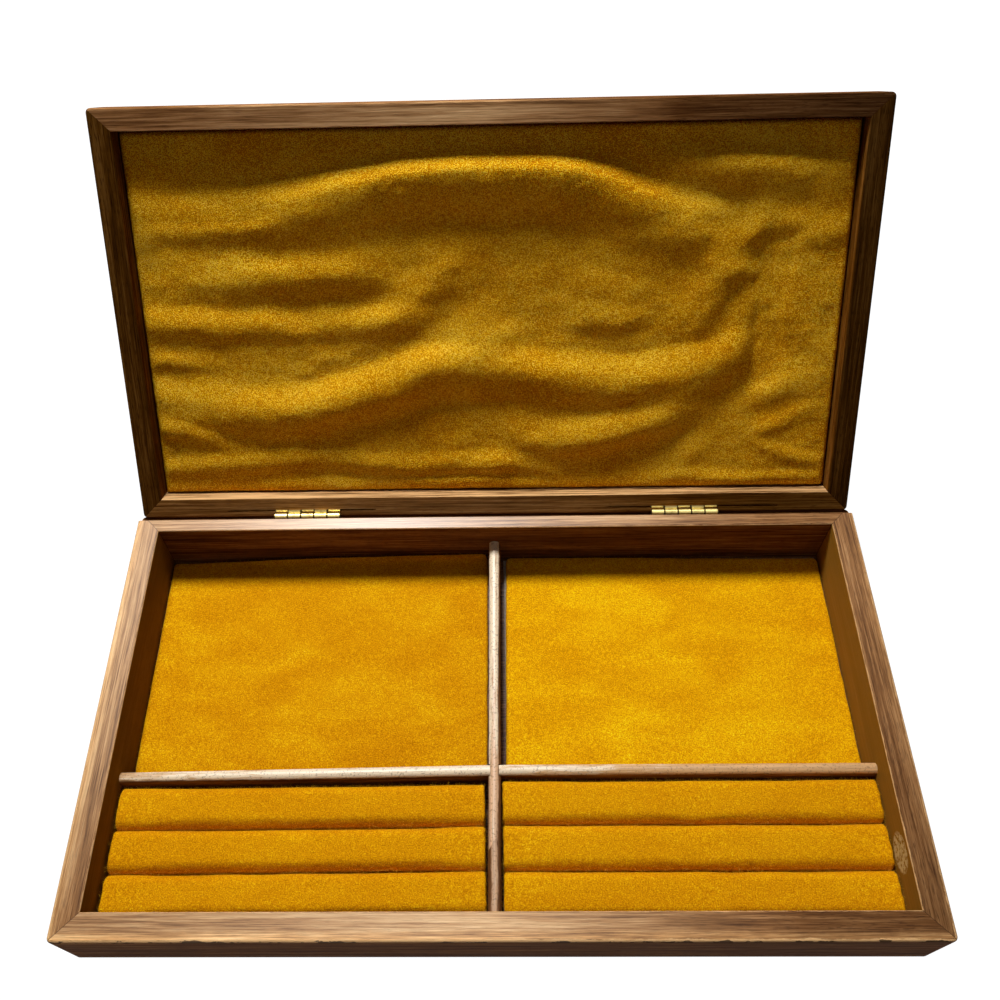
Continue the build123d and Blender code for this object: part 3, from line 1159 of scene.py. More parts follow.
@dataclass(frozen=True)
class Roll:
    """A long soft bar: a rounded section carried along X and closed by soft ends.

    The section rises straight from the foot, turns over a quarter of a superellipse and crowns as
    one less the square of the distance from its middle. Within the end's radius the section is
    drawn in by that radius times one less the sine of the angle turned, and the flat end beyond
    shrinks to the middle of the foot.
    """

    half_length: float
    half_width: float
    foot: float
    height: float
    across: float
    middle: tuple
    turn: float = 0.0
    shoulder: float = 4.2 * MM
    fullness: float = 2.3
    crown: float = 0.35 * MM
    end: float = 1.1 * MM
    pitch: float = 0.85 * MM
    inset: float = 0.0
    solid: bool = False
    seed: int = 1

    def section(self, pitch: float) -> tuple:
        """The section's points from one foot over the top to the other, and their normals.

        Args:
            pitch: Distance between points on the flat of the top.

        Returns:
            Y, Z and the normal's Y and Z, one number for each point.
        """
        wall = np.linspace(0, self.height - self.shoulder - self.crown, 5)[:-1]
        turn = np.linspace(0, math.pi / 2, 11)
        out = np.cos(turn) ** (2 / self.fullness)
        up = np.sin(turn) ** (2 / self.fullness)
        flat = self.half_width - self.shoulder
        top = np.linspace(flat, 0, max(4, round(flat / pitch) + 1))[1:]
        y = np.concatenate([np.full(4, self.half_width), flat + self.shoulder * out, top])
        level = np.full(len(top), self.height - self.crown)
        z = np.concatenate([wall, self.height - self.shoulder - self.crown + self.shoulder * up, level])
        z += self.crown * (1 - (y / self.half_width) ** 2) * (z / self.height)
        y = np.concatenate([-y, y[-2::-1]])
        z = np.concatenate([z, z[-2::-1]])
        dy, dz = np.gradient(y), np.gradient(z)
        size = np.hypot(dy, dz)
        return y, z, -dz / size, dy / size

    def surface(self, pitch: float) -> Points:
        """The bar as rows of points along its length, each row one section.

        Args:
            pitch: Distance between points.

        Returns:
            Rows by points by 3 places, in the bar's own axes.
        """
        y, z, out_y, out_z = self.section(pitch)
        turn = np.linspace(0, math.pi / 2, 6)
        length = self.half_length - self.inset
        drawn = self.end * (1 - np.sin(turn))
        near = -length + self.end * (1 - np.cos(turn))
        body = np.linspace(near[-1], -near[-1], max(4, round(2 * length / pitch)))[1:-1]
        x = np.concatenate([np.full(4, -length), near, body, -near[::-1], np.full(4, length)])
        cap = np.full(4, self.end)
        pull = np.concatenate([cap, drawn, np.zeros(len(body)), drawn[::-1], cap])
        shrink = np.ones(len(x))
        shrink[:4], shrink[-4:] = (0.0, 0.3, 0.6, 0.85), (0.85, 0.6, 0.3, 0.0)
        pull = pull + self.inset
        rows_y = (y[None] - out_y[None] * pull[:, None]) * shrink[:, None]
        rows_z = np.maximum(z[None] - out_z[None] * pull[:, None], 0.0) * shrink[:, None]
        return np.stack([np.broadcast_to(x[:, None], rows_y.shape), rows_y, rows_z], -1)

    def placed(self, points: Points) -> Points:
        """Carries points from the bar's own axes to its place in the box.

        Args:
            points: Places in the bar's axes.

        Returns:
            The same places in the box.
        """
        x, y = points[..., 0], points[..., 1] + self.across
        cos, sin = math.cos(self.turn), math.sin(self.turn)
        return np.stack([
            self.middle[0] + x * cos - y * sin,
            self.middle[1] + x * sin + y * cos,
            points[..., 2] + self.foot,
        ], -1)

    def roughened(self, points: Points) -> Points:
        """Lets the creases wander and lifts the pile in small tufts.

        Args:
            points: Rows by points by 3 places.

        Returns:
            The same grid, each point moved along a slow and a quick noise.
        """
        x, y, z = (points[..., k] for k in range(3))
        up = smooth_step(z / self.height * 1.6)
        moved = points.copy()
        lane = soft_noise(x, np.zeros_like(x), 13 * MM, self.seed)
        moved[..., 1] -= np.sign(y) * (0.16 * MM) * (1 + lane) * smooth_step(np.abs(y) / self.half_width)
        tufts = 0.6 * soft_noise(x + 0.4 * z, y + 0.6 * z, 1.5 * MM, self.seed + 1)
        tufts += 0.5 * soft_noise(x, y, 5.5 * MM, self.seed + 2)
        moved[..., 2] += tufts * 0.13 * MM * up
        at_end = smooth_step((np.abs(x) - self.half_length + 2 * MM) / (2 * MM))
        moved[..., 0] -= np.sign(x) * at_end * 0.25 * MM * (1 + soft_noise(y, z, 2.2 * MM, self.seed + 3))
        return moved

    def make(self, name: str, cover: Material, slot: str, run: ClothRun) -> Item:
        """Builds the bar, lets it settle and closes its foot when it is solid.

        Args:
            name: The piece's name.
            cover: The finish it wears.
            slot: The record's material slot; not used.
            run: How the cloth settles.

        Returns:
            The finished piece.
        """
        coarse = self.surface(COARSE)
        held = np.zeros(coarse.shape[:2], bool)
        held[:, :3] = held[:, -3:] = True
        held[:5] = held[-5:] = True
        moved = run.settle(coarse.reshape(-1, 3), grid_faces(*coarse.shape[:2]), held.ravel())
        moved = moved.reshape(coarse.shape)
        fine = self.surface(self.pitch)
        if not self.solid:
            fine = self.roughened(fine) + upsampled(relaxed(moved), *fine.shape[:2])
        rows, columns = fine.shape[:2]
        if self.solid:
            floor = fine.copy()
            floor[..., 2] = 0.0
            fine = np.concatenate([fine, floor[:, -2:0:-6]], axis=1)
            columns = fine.shape[1]
        points = self.placed(fine)
        made = piece(name, points.reshape(-1, 3), grid_faces(rows, columns, closed=self.solid), cover)
        weld(made)
        return made


@dataclass(frozen=True)
class Fringe:
    """Loose pile along a soft piece's edges: short tapering ribbons that stand out of its surface.

    A ribbon's middle line is its root plus the direction times the length times t, plus a bend
    times t squared, for t from 0 to 1.
    """

    count: int
    length: tuple
    edge_pull: float
    seed: int
    width: float = 0.05 * MM

    def grow(self, soft: Item, cover: Material) -> Item:
        """Plants ribbons on a soft piece, most of them where its surface turns down.

        Args:
            soft: The piece, before its thickness is given.
            cover: The pile's finish.

        Returns:
            One object that holds all the ribbons.
        """
        mesh, rng = soft.data, np.random.default_rng(self.seed)
        total = len(mesh.polygons)
        middles, normals, areas = np.zeros(total * 3), np.zeros(total * 3), np.zeros(total)
        mesh.polygons.foreach_get("center", middles)
        mesh.polygons.foreach_get("normal", normals)
        mesh.polygons.foreach_get("area", areas)
        middles, normals = middles.reshape(-1, 3), normals.reshape(-1, 3)
        turned = smooth_step((0.97 - normals[:, 2]) / 0.4) * (normals[:, 2] > 0.12)
        weight = areas * np.where(normals[:, 2] > 0.12, 1.0, 0.0) * (1 + self.edge_pull * turned)
        chosen = rng.choice(total, self.count, p=weight / weight.sum())
        normal = normals[chosen]
        root = middles[chosen] + rng.normal(0, 0.28 * MM, (self.count, 3)) - normal * 0.12 * MM
        ahead = 0.55 * normal + np.array([0, 0, 0.45]) + rng.normal(0, 0.35, (self.count, 3))
        ahead /= np.linalg.norm(ahead, axis=1, keepdims=True)
        side = np.cross(ahead, rng.normal(0, 1, (self.count, 3)))
        side *= self.width / 2 / np.linalg.norm(side, axis=1, keepdims=True)
        reach = rng.uniform(*self.length, (self.count, 1))
        bend = rng.normal(0, 0.3, (self.count, 3)) * reach
        rows = []
        for t, share in ((0.0, 1.0), (0.5, 0.8), (1.0, 0.2)):
            line = root + ahead * reach * t + bend * t * t
            rows += [line - side * share, line + side * share]
        points = np.stack(rows, 1).reshape(-1, 3)
        first = np.arange(self.count)[:, None] * 6
        faces = np.concatenate([first + np.array([0, 1, 3, 2]), first + np.array([2, 3, 5, 4])])
        return piece(f"{soft.name}_pile", points, faces, cover)


@dataclass(frozen=True)
class LoosePile:
    """Fibre ends caught by the light, paler than the plush they stand in."""

    name: str = "loose_pile"
    colour: tuple = (0.90, 0.50, 0.05)

    def build(self) -> Material:
        """Makes the material."""
        bench = Bench(self.name)
        return bench.set(Base_Color=self.colour, Roughness=0.9, Specular_IOR_Level=0.0)


@dataclass(frozen=True)
class BackPads:
    """The two flat plush pads of the back bays."""

    left: tuple = (-150.5 * MM, -3.15 * MM)
    right: tuple = (4.05 * MM, 150.5 * MM)
    front: float = -22.2 * MM
    back: float = 79.5 * MM
    foot: float = 3.0 * MM
    height: float = 2.2 * MM
    skin: float = 0.9 * MM

    def build(self, covers: dict, pile: Material) -> None:
        """Makes both pads with their loose pile and hangs them on the base.

        Args:
            covers: The plush of each side.
            pile: The finish of loose fibre ends.
        """
        forms = {
            "left": dict(
                slant=1.0 * MM,
                seed=11,
                lean=0.0095,
                curl=((-0.138, 0.0), (-0.091, 2.8 * MM), (-0.045, 3.8 * MM), (-0.006, 4.8 * MM)),
            ),
            "right": dict(slant=1.6 * MM, seed=23, lean=0.0172),
        }
        for side, own in forms.items():
            low, high = self.left if side == "left" else self.right
            half = ((high - low) / 2 - 0.1 * MM, (self.back - self.front) / 2 - 0.1 * MM)
            form = Bolster(
                centre=((high + low) / 2, (self.back + self.front) / 2),
                half=half,
                foot=self.foot,
                height=self.height,
                shoulder=1.1 * MM,
                crown=0.1 * MM,
                corner=2.4 * MM,
                wander=0.35 * MM,
                **own,
            )
            name = f"rear_{side}_pad_plush"
            run = ClothRun(pressure=0.5, tension=12.0, bending=0.4, cap=0.15 * MM)
            made = form.make(name, covers[side], "velvet", self.skin, run)
            fringe = Fringe(count=6000, length=(0.5 * MM, 1.2 * MM), edge_pull=8.0, seed=form.seed)
            loose = fringe.grow(made, pile)
            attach(loose, Body.BASE.value)
            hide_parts(f"rear_{side}_pad_velvet")
            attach(made, Body.BASE.value)


@dataclass(frozen=True)
class RollSet:
    """Three plush rolls pressed together in a front bay, which grip the cufflinks between them."""

    side: str
    middle: tuple
    length: float
    width: float
    pitch: float
    turn: float = 0.0
    foot: float = 4.5 * MM
    height: float = 13.8 * MM
    skin: float = 1.1 * MM

    def build(self, cover: Material, foam: Material, pile: Material) -> None:
        """Args:
            cover: The rolls' plush.
            foam: The bars' finish.
            pile: The finish of loose fibre ends.
        """
        for index in range(3):
            form = Roll(
                half_length=self.length / 2 - 0.05 * MM,
                half_width=self.width / 2 + 0.1 * MM,
                foot=self.foot,
                height=self.height,
                across=(index - 1) * self.pitch,
                middle=self.middle,
                turn=self.turn,
                seed=31 + 7 * index + (3 if self.side == "left" else 0),
            )
            name = f"front_{self.side}_roll_plush_{index + 1}"
            made = form.make(name, cover, "velvet", ClothRun(growth=0.004, cap=0.25 * MM))
            fringe = Fringe(count=4400, length=(0.6 * MM, 1.4 * MM), edge_pull=11.0, seed=form.seed)
            loose = fringe.grow(made, pile)
            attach(loose, Body.BASE.value)
            thicken(made, self.skin)
            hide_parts(f"front_{self.side}_roll_velvet_{index + 1}")
            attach(made, Body.BASE.value)
            bar = replace(form, inset=self.skin + 0.45 * MM, pitch=2.4 * MM, solid=True)
            core_name = f"front_{self.side}_roll_foam_{index + 1}"
            core = bar.make(core_name, foam, "foam_cores", ClothRun(frames=0))
            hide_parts(f"front_{self.side}_roll_core_{index + 1}")
            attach(core, Body.BASE.value)


@dataclass(frozen=True)
class Fold:
    """One soft fold of the lining, its sizes in millimetres.

    The crest follows a smooth curve through its points, each a place along the fold, a place
    across it and a height. Above and below the crest the height falls as the square of one less
    the square of the distance over the width.
    """

    path: tuple
    above: float
    below: float
    upright: bool = False

    def crest(self) -> Points:
        """The crest as close points: a Catmull-Rom curve through the path's."""
        path = np.array(self.path, float)
        path = np.vstack([2 * path[0] - path[1], path, 2 * path[-1] - path[-2]])
        t = np.linspace(0, len(path) - 3 - 1e-9, 160)
        i = t.astype(int)
        f = (t - i)[:, None]
        a, b, c, d = path[i], path[i + 1], path[i + 2], path[i + 3]
        square = (2 * a - 5 * b + 4 * c - d) * f**2
        cube = (3 * b - a - 3 * c + d) * f**3
        return 0.5 * (2 * b + (c - a) * f + square + cube)

    def height(self, across: Points, up: Points) -> Points:
        """The fold's height over the flat lining.

        Args:
            across: Place along the lid's width, in millimetres.
            up: Place up the lid from its hinge edge.

        Returns:
            Heights in millimetres.
        """
        crest = self.crest()
        along, beside = (up, across) if self.upright else (across, up)
        line = np.interp(along, crest[:, 0], crest[:, 1])
        slope = np.interp(along, crest[:, 0], np.gradient(crest[:, 1], crest[:, 0]))
        rise = np.interp(along, crest[:, 0], crest[:, 2])
        away = (beside - line) / np.sqrt(1 + slope**2)
        t = np.clip(np.abs(away) / np.where(away > 0, self.above, self.below), 0, 1)
        return rise * (1 - t * t) ** 2


@dataclass(frozen=True)
class LidLining:
    """The loose plush lining of the lid, slipped down into folds."""

    half_x: float = 150.4 * MM
    half_y: float = 79.4 * MM
    face: float = 39.6 * MM
    skin: float = 0.9 * MM
    pitch: float = 1.15 * MM
    edge: float = 1.8 * MM
    loft: float = 0.6 * MM
    fullness: float = 1.27
    folds: tuple = (
        Fold(((-156, 136.5, 1.0), (-125, 136.5, 1.3), (-100, 138.5, 2.0), (-80, 141, 2.8), (-60, 144.5, 3.6),
              (-30, 149.5, 4.4), (0, 150.5, 4.6), (30, 149.5, 4.6), (48, 145.5, 4.2), (62, 139, 3.6),
              (76, 135, 3.0), (90, 131, 2.2), (104, 127, 0)), 10, 25),
        Fold(((-156, 127, 0), (-140, 127, 0.3), (-125, 127.5, 0.4), (-105, 128.5, 0.6),
              (-80, 131, 0)), 5, 6),
        Fold(((-148, 108, 0), (-125, 107.5, 0.9), (-100, 107.5, 1.7), (-80, 108, 1.9), (-60, 108.5, 1.8),
              (-45, 108, 1.1), (-30, 108, 0)), 14, 11),
        Fold(((-158, 89, 0.8), (-130, 88, 1.5), (-110, 87, 1.4), (-80, 87, 1.3), (-50, 88, 1.3),
              (-36, 89, 0.9), (-22, 91, 0)), 9, 9),
        Fold(((-64, 85, 0), (-50, 89, 0.5), (-36, 96, 0.8), (-22, 104, 0.7), (-10, 112, 0)), 12, 16),
        Fold(((-36, 106, 0), (-24, 108, 0.7), (-10, 110, 0.7), (4, 114, 0)), 16, 14),
        Fold(((-156, 54, 0.8), (-128, 51, 2.0), (-104, 48.5, 3.1), (-84, 49.5, 3.7), (-64, 54, 3.8),
              (-44, 59.5, 3.8), (-24, 64.5, 3.5), (-4, 65.5, 3.0), (16, 63.5, 3.0), (36, 62, 2.9),
              (56, 60.5, 2.9), (76, 62.5, 2.9), (92, 66.5, 2.5), (106, 71, 1.6), (120, 76, 0)), 14, 16),
        Fold(((-60, 66, 0), (-40, 70, 0.6), (-20, 74, 1.0), (0, 79, 0.9), (16, 84, 0)), 8, 10),
        Fold(((2, 33, 0), (15, 33, 1.2), (30, 33, 2.2), (45, 34.5, 2.5), (60, 37.5, 2.5), (75, 42, 2.2),
              (88, 47, 1.4), (102, 53, 0)), 13, 11),
        Fold(((-158, 21, 0.8), (-130, 22.5, 1.1), (-110, 23.5, 1.1), (-90, 25.5, 1.2), (-70, 24.5, 1.2),
              (-50, 22, 1.4), (-30, 21, 1.5), (-10, 21.5, 1.5), (10, 21.5, 1.3), (34, 19, 0)), 8, 6),
        Fold(((-116, 12.5, 0), (-90, 12.5, 0.5), (-70, 12.5, 0.3), (-40, 13.5, 0.5), (-20, 13.5, 0.8),
              (0, 13.5, 0.7), (24, 12, 0)), 4, 4),
        Fold(((-158, 42, 1.0), (-140, 39.5, 1.3), (-128, 36, 1.2), (-110, 30, 0)), 7, 6),
        Fold(((70, 84, 0), (84, 88, 0.8), (98, 95, 1.2), (110, 101, 1.4), (122, 107, 1.2), (132, 113, 0.7),
              (140, 120, 0)), 9, 16, True),
        Fold(((56, 152, 0), (72, 152, 1.0), (88, 152, 1.9), (104, 151, 2.3), (122, 149.5, 2.1),
              (138, 148.5, 1.3), (152, 148, 0.7)), 10, 15),
        Fold(((100, 121, 0), (111, 123, 0.7), (122, 126, 0.9), (136, 130, 0)), 8, 7),
        Fold(((88, 106, 0), (98, 106.5, 0.5), (108, 107.5, 0.7), (118, 109.5, 0.4), (126, 111, 0)), 7, 6),
        Fold(((60, 108, 0), (74, 109, 0.9), (86, 110, 1.1), (96, 111.5, 0.8), (106, 113, 0)), 6, 11, True),
        Fold(((50, 116, 0), (66, 118, 0.4), (80, 120, 0.5), (94, 119, 0)), 10, 13),
        Fold(((112, 35, 0), (122, 38, 0.5), (134, 43, 0.5), (146, 48, 0)), 6, 6),
        Fold(((104, 47, 0), (118, 53, 0.6), (132, 58, 0.5), (144, 61, 0)), 8, 8),
        Fold(((112, 31, 0), (124, 28, 0.7), (138, 23, 0.9), (156, 20, 0.6)), 5, 6),
        Fold(((118, 121, 0), (130, 122, 0.7), (144, 123, 0.6), (156, 124, 0.4)), 9, 8),
        Fold(((60, 13, 0), (80, 14.5, 0.6), (110, 13, 0.8), (130, 14, 0.9), (156, 15, 0.8)), 5, 5),
        Fold(((26, 88, 0), (42, 87, 0.9), (56, 87, 1.0), (70, 88.5, 0)), 12, 7),
        Fold(((-156, 73, 0.5), (-138, 72, 0.8), (-124, 71.5, 0.5), (-112, 71, 0)), 6, 5),
        Fold(((30, 103, 0), (46, 101, 0.6), (60, 99, 0.5), (72, 97, 0)), 9, 8),
        Fold(((50, 116, 0), (64, 117, -0.9), (80, 116, -1.3), (92, 116, -1.0), (108, 119, -1.2),
              (122, 122, -0.8), (132, 124, 0)), 11, 12, True),
    )

    def surface(self, rows: int, columns: int) -> Points:
        """The shut lid's lining as a grid.

        Its height is the folds' sum, eased to nothing at the border, where the plush turns down
        along a quarter circle.

        Args:
            rows: Points along the lid's depth.
            columns: Points along its width.

        Returns:
            Rows by columns by 3 places, hinge edge first.
        """
        x = np.linspace(-self.half_x, self.half_x, columns)
        up = np.linspace(BOX.lid_depth - self.half_y, BOX.lid_depth + self.half_y, rows)
        x, up = np.meshgrid(x, up)
        height = self.loft + sum(fold.height(x / MM, up / MM) for fold in self.folds) * self.fullness * MM
        height = np.maximum(height, 0.1 * MM)
        from_edge = np.minimum.reduce(
            [self.half_x - np.abs(x), up - BOX.lid_depth + self.half_y, BOX.lid_depth + self.half_y - up]
        )
        height = self.loft + (height - self.loft) * smooth_step(from_edge / (4 * MM))
        turned = 1 - np.clip(from_edge / self.edge, 0, 1)
        height -= self.edge * (1 - np.sqrt(1 - 0.96 * turned**2))
        y = BOX.lid_depth - up
        height += 0.14 * MM * soft_noise(x, y, 2.1 * MM, 5) + 0.22 * MM * soft_noise(x, y * 1.6, 9 * MM, 6)
        return np.stack([x, y, self.face - height], -1)

    def build(self, cover: Material, cotton: Material) -> None:
        """Args:
            cover: The lining's plush.
            cotton: The wadding's finish.
        """
        rows, columns = round(2 * self.half_y / self.pitch) + 1, round(2 * self.half_x / self.pitch) + 1
        coarse = self.surface(rows // 3, columns // 3)
        held = np.ones(coarse.shape[:2], bool)
        held[1:-1, 1:-1] = False
        run = ClothRun(growth=0.009, cap=0.7 * MM)
        moved = run.settle(coarse.reshape(-1, 3), grid_faces(*coarse.shape[:2]), held.ravel())
        fine = self.surface(rows, columns) + upsampled(relaxed(moved.reshape(coarse.shape)), rows, columns)
        points = BOX.opened(fine.reshape(-1, 3))
        made = piece("lid_lining_plush", points, grid_faces(rows, columns), cover)
        thicken(made, self.skin)
        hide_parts("lid_lining_velvet")
        form = Bolster(
            centre=(0.0, 0.0),
            half=(self.half_x - 1.6 * MM, self.half_y - 1.6 * MM),
            foot=0.0,
            height=2.3 * MM,
            shoulder=1.6 * MM,
            crown=0.1 * MM,
            pitch=2.6 * MM,
            seed=71,
        )
        batt = form.make("lid_cotton_wadding", cotton, "wadding", 0.0, ClothRun(frames=0))
        place = np.zeros(len(batt.data.vertices) * 3)
        batt.data.vertices.foreach_get("co", place)
        place = place.reshape(-1, 3) * np.array([1, -1, -1]) + np.array([0, 0, self.face + 3.5 * MM])
        batt.data.vertices.foreach_set("co", BOX.opened(place).ravel())
        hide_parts("lid_wadding")
        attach(batt, Body.LID.value)
        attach(made, Body.LID.value)


# ---- Hard pieces -----------------------------------------------------------------------------


def dress(name: str, material: Material) -> None:
    """Gives a solid of the frame its finish.

    Args:
        name: The solid's node.
        material: What it wears.
    """
    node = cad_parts[name]
    if not node.material_slots:
        node.data.materials.append(material)
    for slot in node.material_slots:
        slot.link = "OBJECT"
        slot.material = material
    log.info("%s: %s", name, material.name)


@dataclass(frozen=True)
class Joinery:
    """The rails, panels and dividers."""

    def rails(self) -> tuple:
        """The finish of each rail, its rim painted lighter where highlights fall on it and darker where it
        lies in shade.
        """
        width, depth, lid = Grain.WIDTH, Grain.DEPTH, Body.LID
        plain = dict(
            body=lid, coat=0.0, band_wear_and_highlight_share=0.0, edge_wear_and_highlight_share=0.0, inner_wear_and_highlight_share=0.0, face_coat=0.02, face=1.2
        )
        # A darker palette for the lid rails: painted shade, as little light reaches them.
        painted_shade = dict(
            dark=(0.050, 0.016, 0.002),
            middle=(0.160, 0.060, 0.006),
            light=(0.330, 0.150, 0.030),
            face_tint=(1.0, 1.04, 2.4),
            **plain,
        )
        glue = ((150.8 * MM, -58.2 * MM, 23.5 * MM), (6.0 * MM, 7.5 * MM, 6.5 * MM))
        # A tone above one paints a highlight on a rim, below one paints shade.
        return (
            RailWood(
                "base_front_rail",
                width,
                painted_light_tones=((0.03, 2.05), (0.16, 2.35), (0.5, 3.35), (0.72, 1.65), (0.86, 0.86)),
                band_wear_and_highlight_share=0.8,
                chips=0.85,
            ),
            RailWood(
                "base_back_rail",
                width,
                painted_light_tones=((0.1, 2.6), (0.3, 2.6), (0.5, 2.35), (0.7, 2.6), (0.88, 1.2)),
                coat=0.42,
            ),
            RailWood(
                "base_left_rail",
                depth,
                painted_light_tones=((0.05, 1.32), (0.4, 2.45), (0.9, 2.65)),
                wall_reflection_share=0.8,
                band_wear_and_highlight_share=0.5,
            ),
            RailWood(
                "base_right_rail",
                depth,
                painted_light_tones=((0.05, 0.78), (0.4, 1.1), (0.9, 1.45)),
                wall=(0.32, 0.16, 0.018),
                wall_reflection_share=0.8,
                band_wear_and_highlight_share=0.4,
                edge_wear_and_highlight_share=0.6,
                stain=glue,
            ),
            RailWood(
                "lid_front_rail", width, painted_light_tones=((0.1, 1.3), (0.5, 3.0), (0.75, 0.85), (0.95, 0.48)), **plain
            ),
            RailWood(
                "lid_back_rail", width, painted_light_tones=((0.0, 1.25), (0.5, 1.5), (0.9, 0.75)), ledge_highlight_share=0.8, **painted_shade
            ),
            RailWood("lid_left_rail", depth, painted_light_tones=((0.0, 0.55), (1.0, 0.6)), **painted_shade),
            RailWood("lid_right_rail", depth, painted_light_tones=((0.0, 0.35), (1.0, 0.45)), **painted_shade),
        )

    def build(self) -> None:
        """Dresses every wooden solid in timber whose grain runs its own way."""
        for finish in self.rails():
            node = finish.name
            dress(node, replace(finish, name=f"walnut_{node}").build())
        dress("base_bottom_panel", PanelWood("walnut_base_panel", Grain.WIDTH).build())
        dress("lid_panel", PanelWood("walnut_lid_panel", Grain.WIDTH, Body.LID).build())
        # The reaches and glue shares follow the painted highlight along each slat; the side the pale top
        # leaves dark is painted shade.
        long_slat = DividerWood(
            "walnut_long_divider",
            Grain.DEPTH,
            slope=0.0105,
            reaches=(
                (0.19, 0.0), (0.215, 3.2), (0.3, 4.0), (0.43, 3.9), (0.57, 4.0), (0.78, 4.3), (0.89, 4.5)
            ),
            glue_and_highlight_shares=((0.3, 0.28), (0.45, 0.55), (0.65, 0.7), (0.9, 0.68)),
        )
        cross_slat = DividerWood(
            "walnut_cross_divider",
            Grain.WIDTH,
            slope=0.0157,
            half=2.3 * MM,
            reaches=((0.0, 3.6), (0.3, 4.2), (0.6, 4.6), (1.0, 4.6)),
            glue_and_highlight_shares=((0.05, 0.4), (0.2, 0.7), (0.45, 0.85), (0.7, 0.3), (0.85, 0.0)),
            bare_and_lit=(0.76, 0.45, 0.20),
        )
        dress("long_divider", long_slat.build())
        dress("cross_divider", cross_slat.build())


@dataclass(frozen=True)
class Hardware:
    """The two brass hinges."""

    def build(self) -> None:
        """Dresses leaves and pins in brass."""
        for side, centre in (("left", -84.2 * MM), ("right", 86.6 * MM)):
            brass = Brass(f"old_brass_{side}", centre).build()
            for part in ("base_leaf", "lid_leaf", "pin"):
                dress(f"hinge_{side}_{part}", brass)


@dataclass(frozen=True)
class Backing:
    """The boards and cards under the plush."""

    def build(self) -> None:
        """Dresses the hidden layers."""
        card = Fibreboard("grey_card", (0.30, 0.26, 0.20), (0.46, 0.41, 0.33)).build()
        for side in ("left", "right"):
            dress(f"rear_{side}_pad_board", card)
            dress(f"front_{side}_roll_card", card)
        dress("lid_lining_board", card)


# ---- Studio ----------------------------------------------------------------------------------


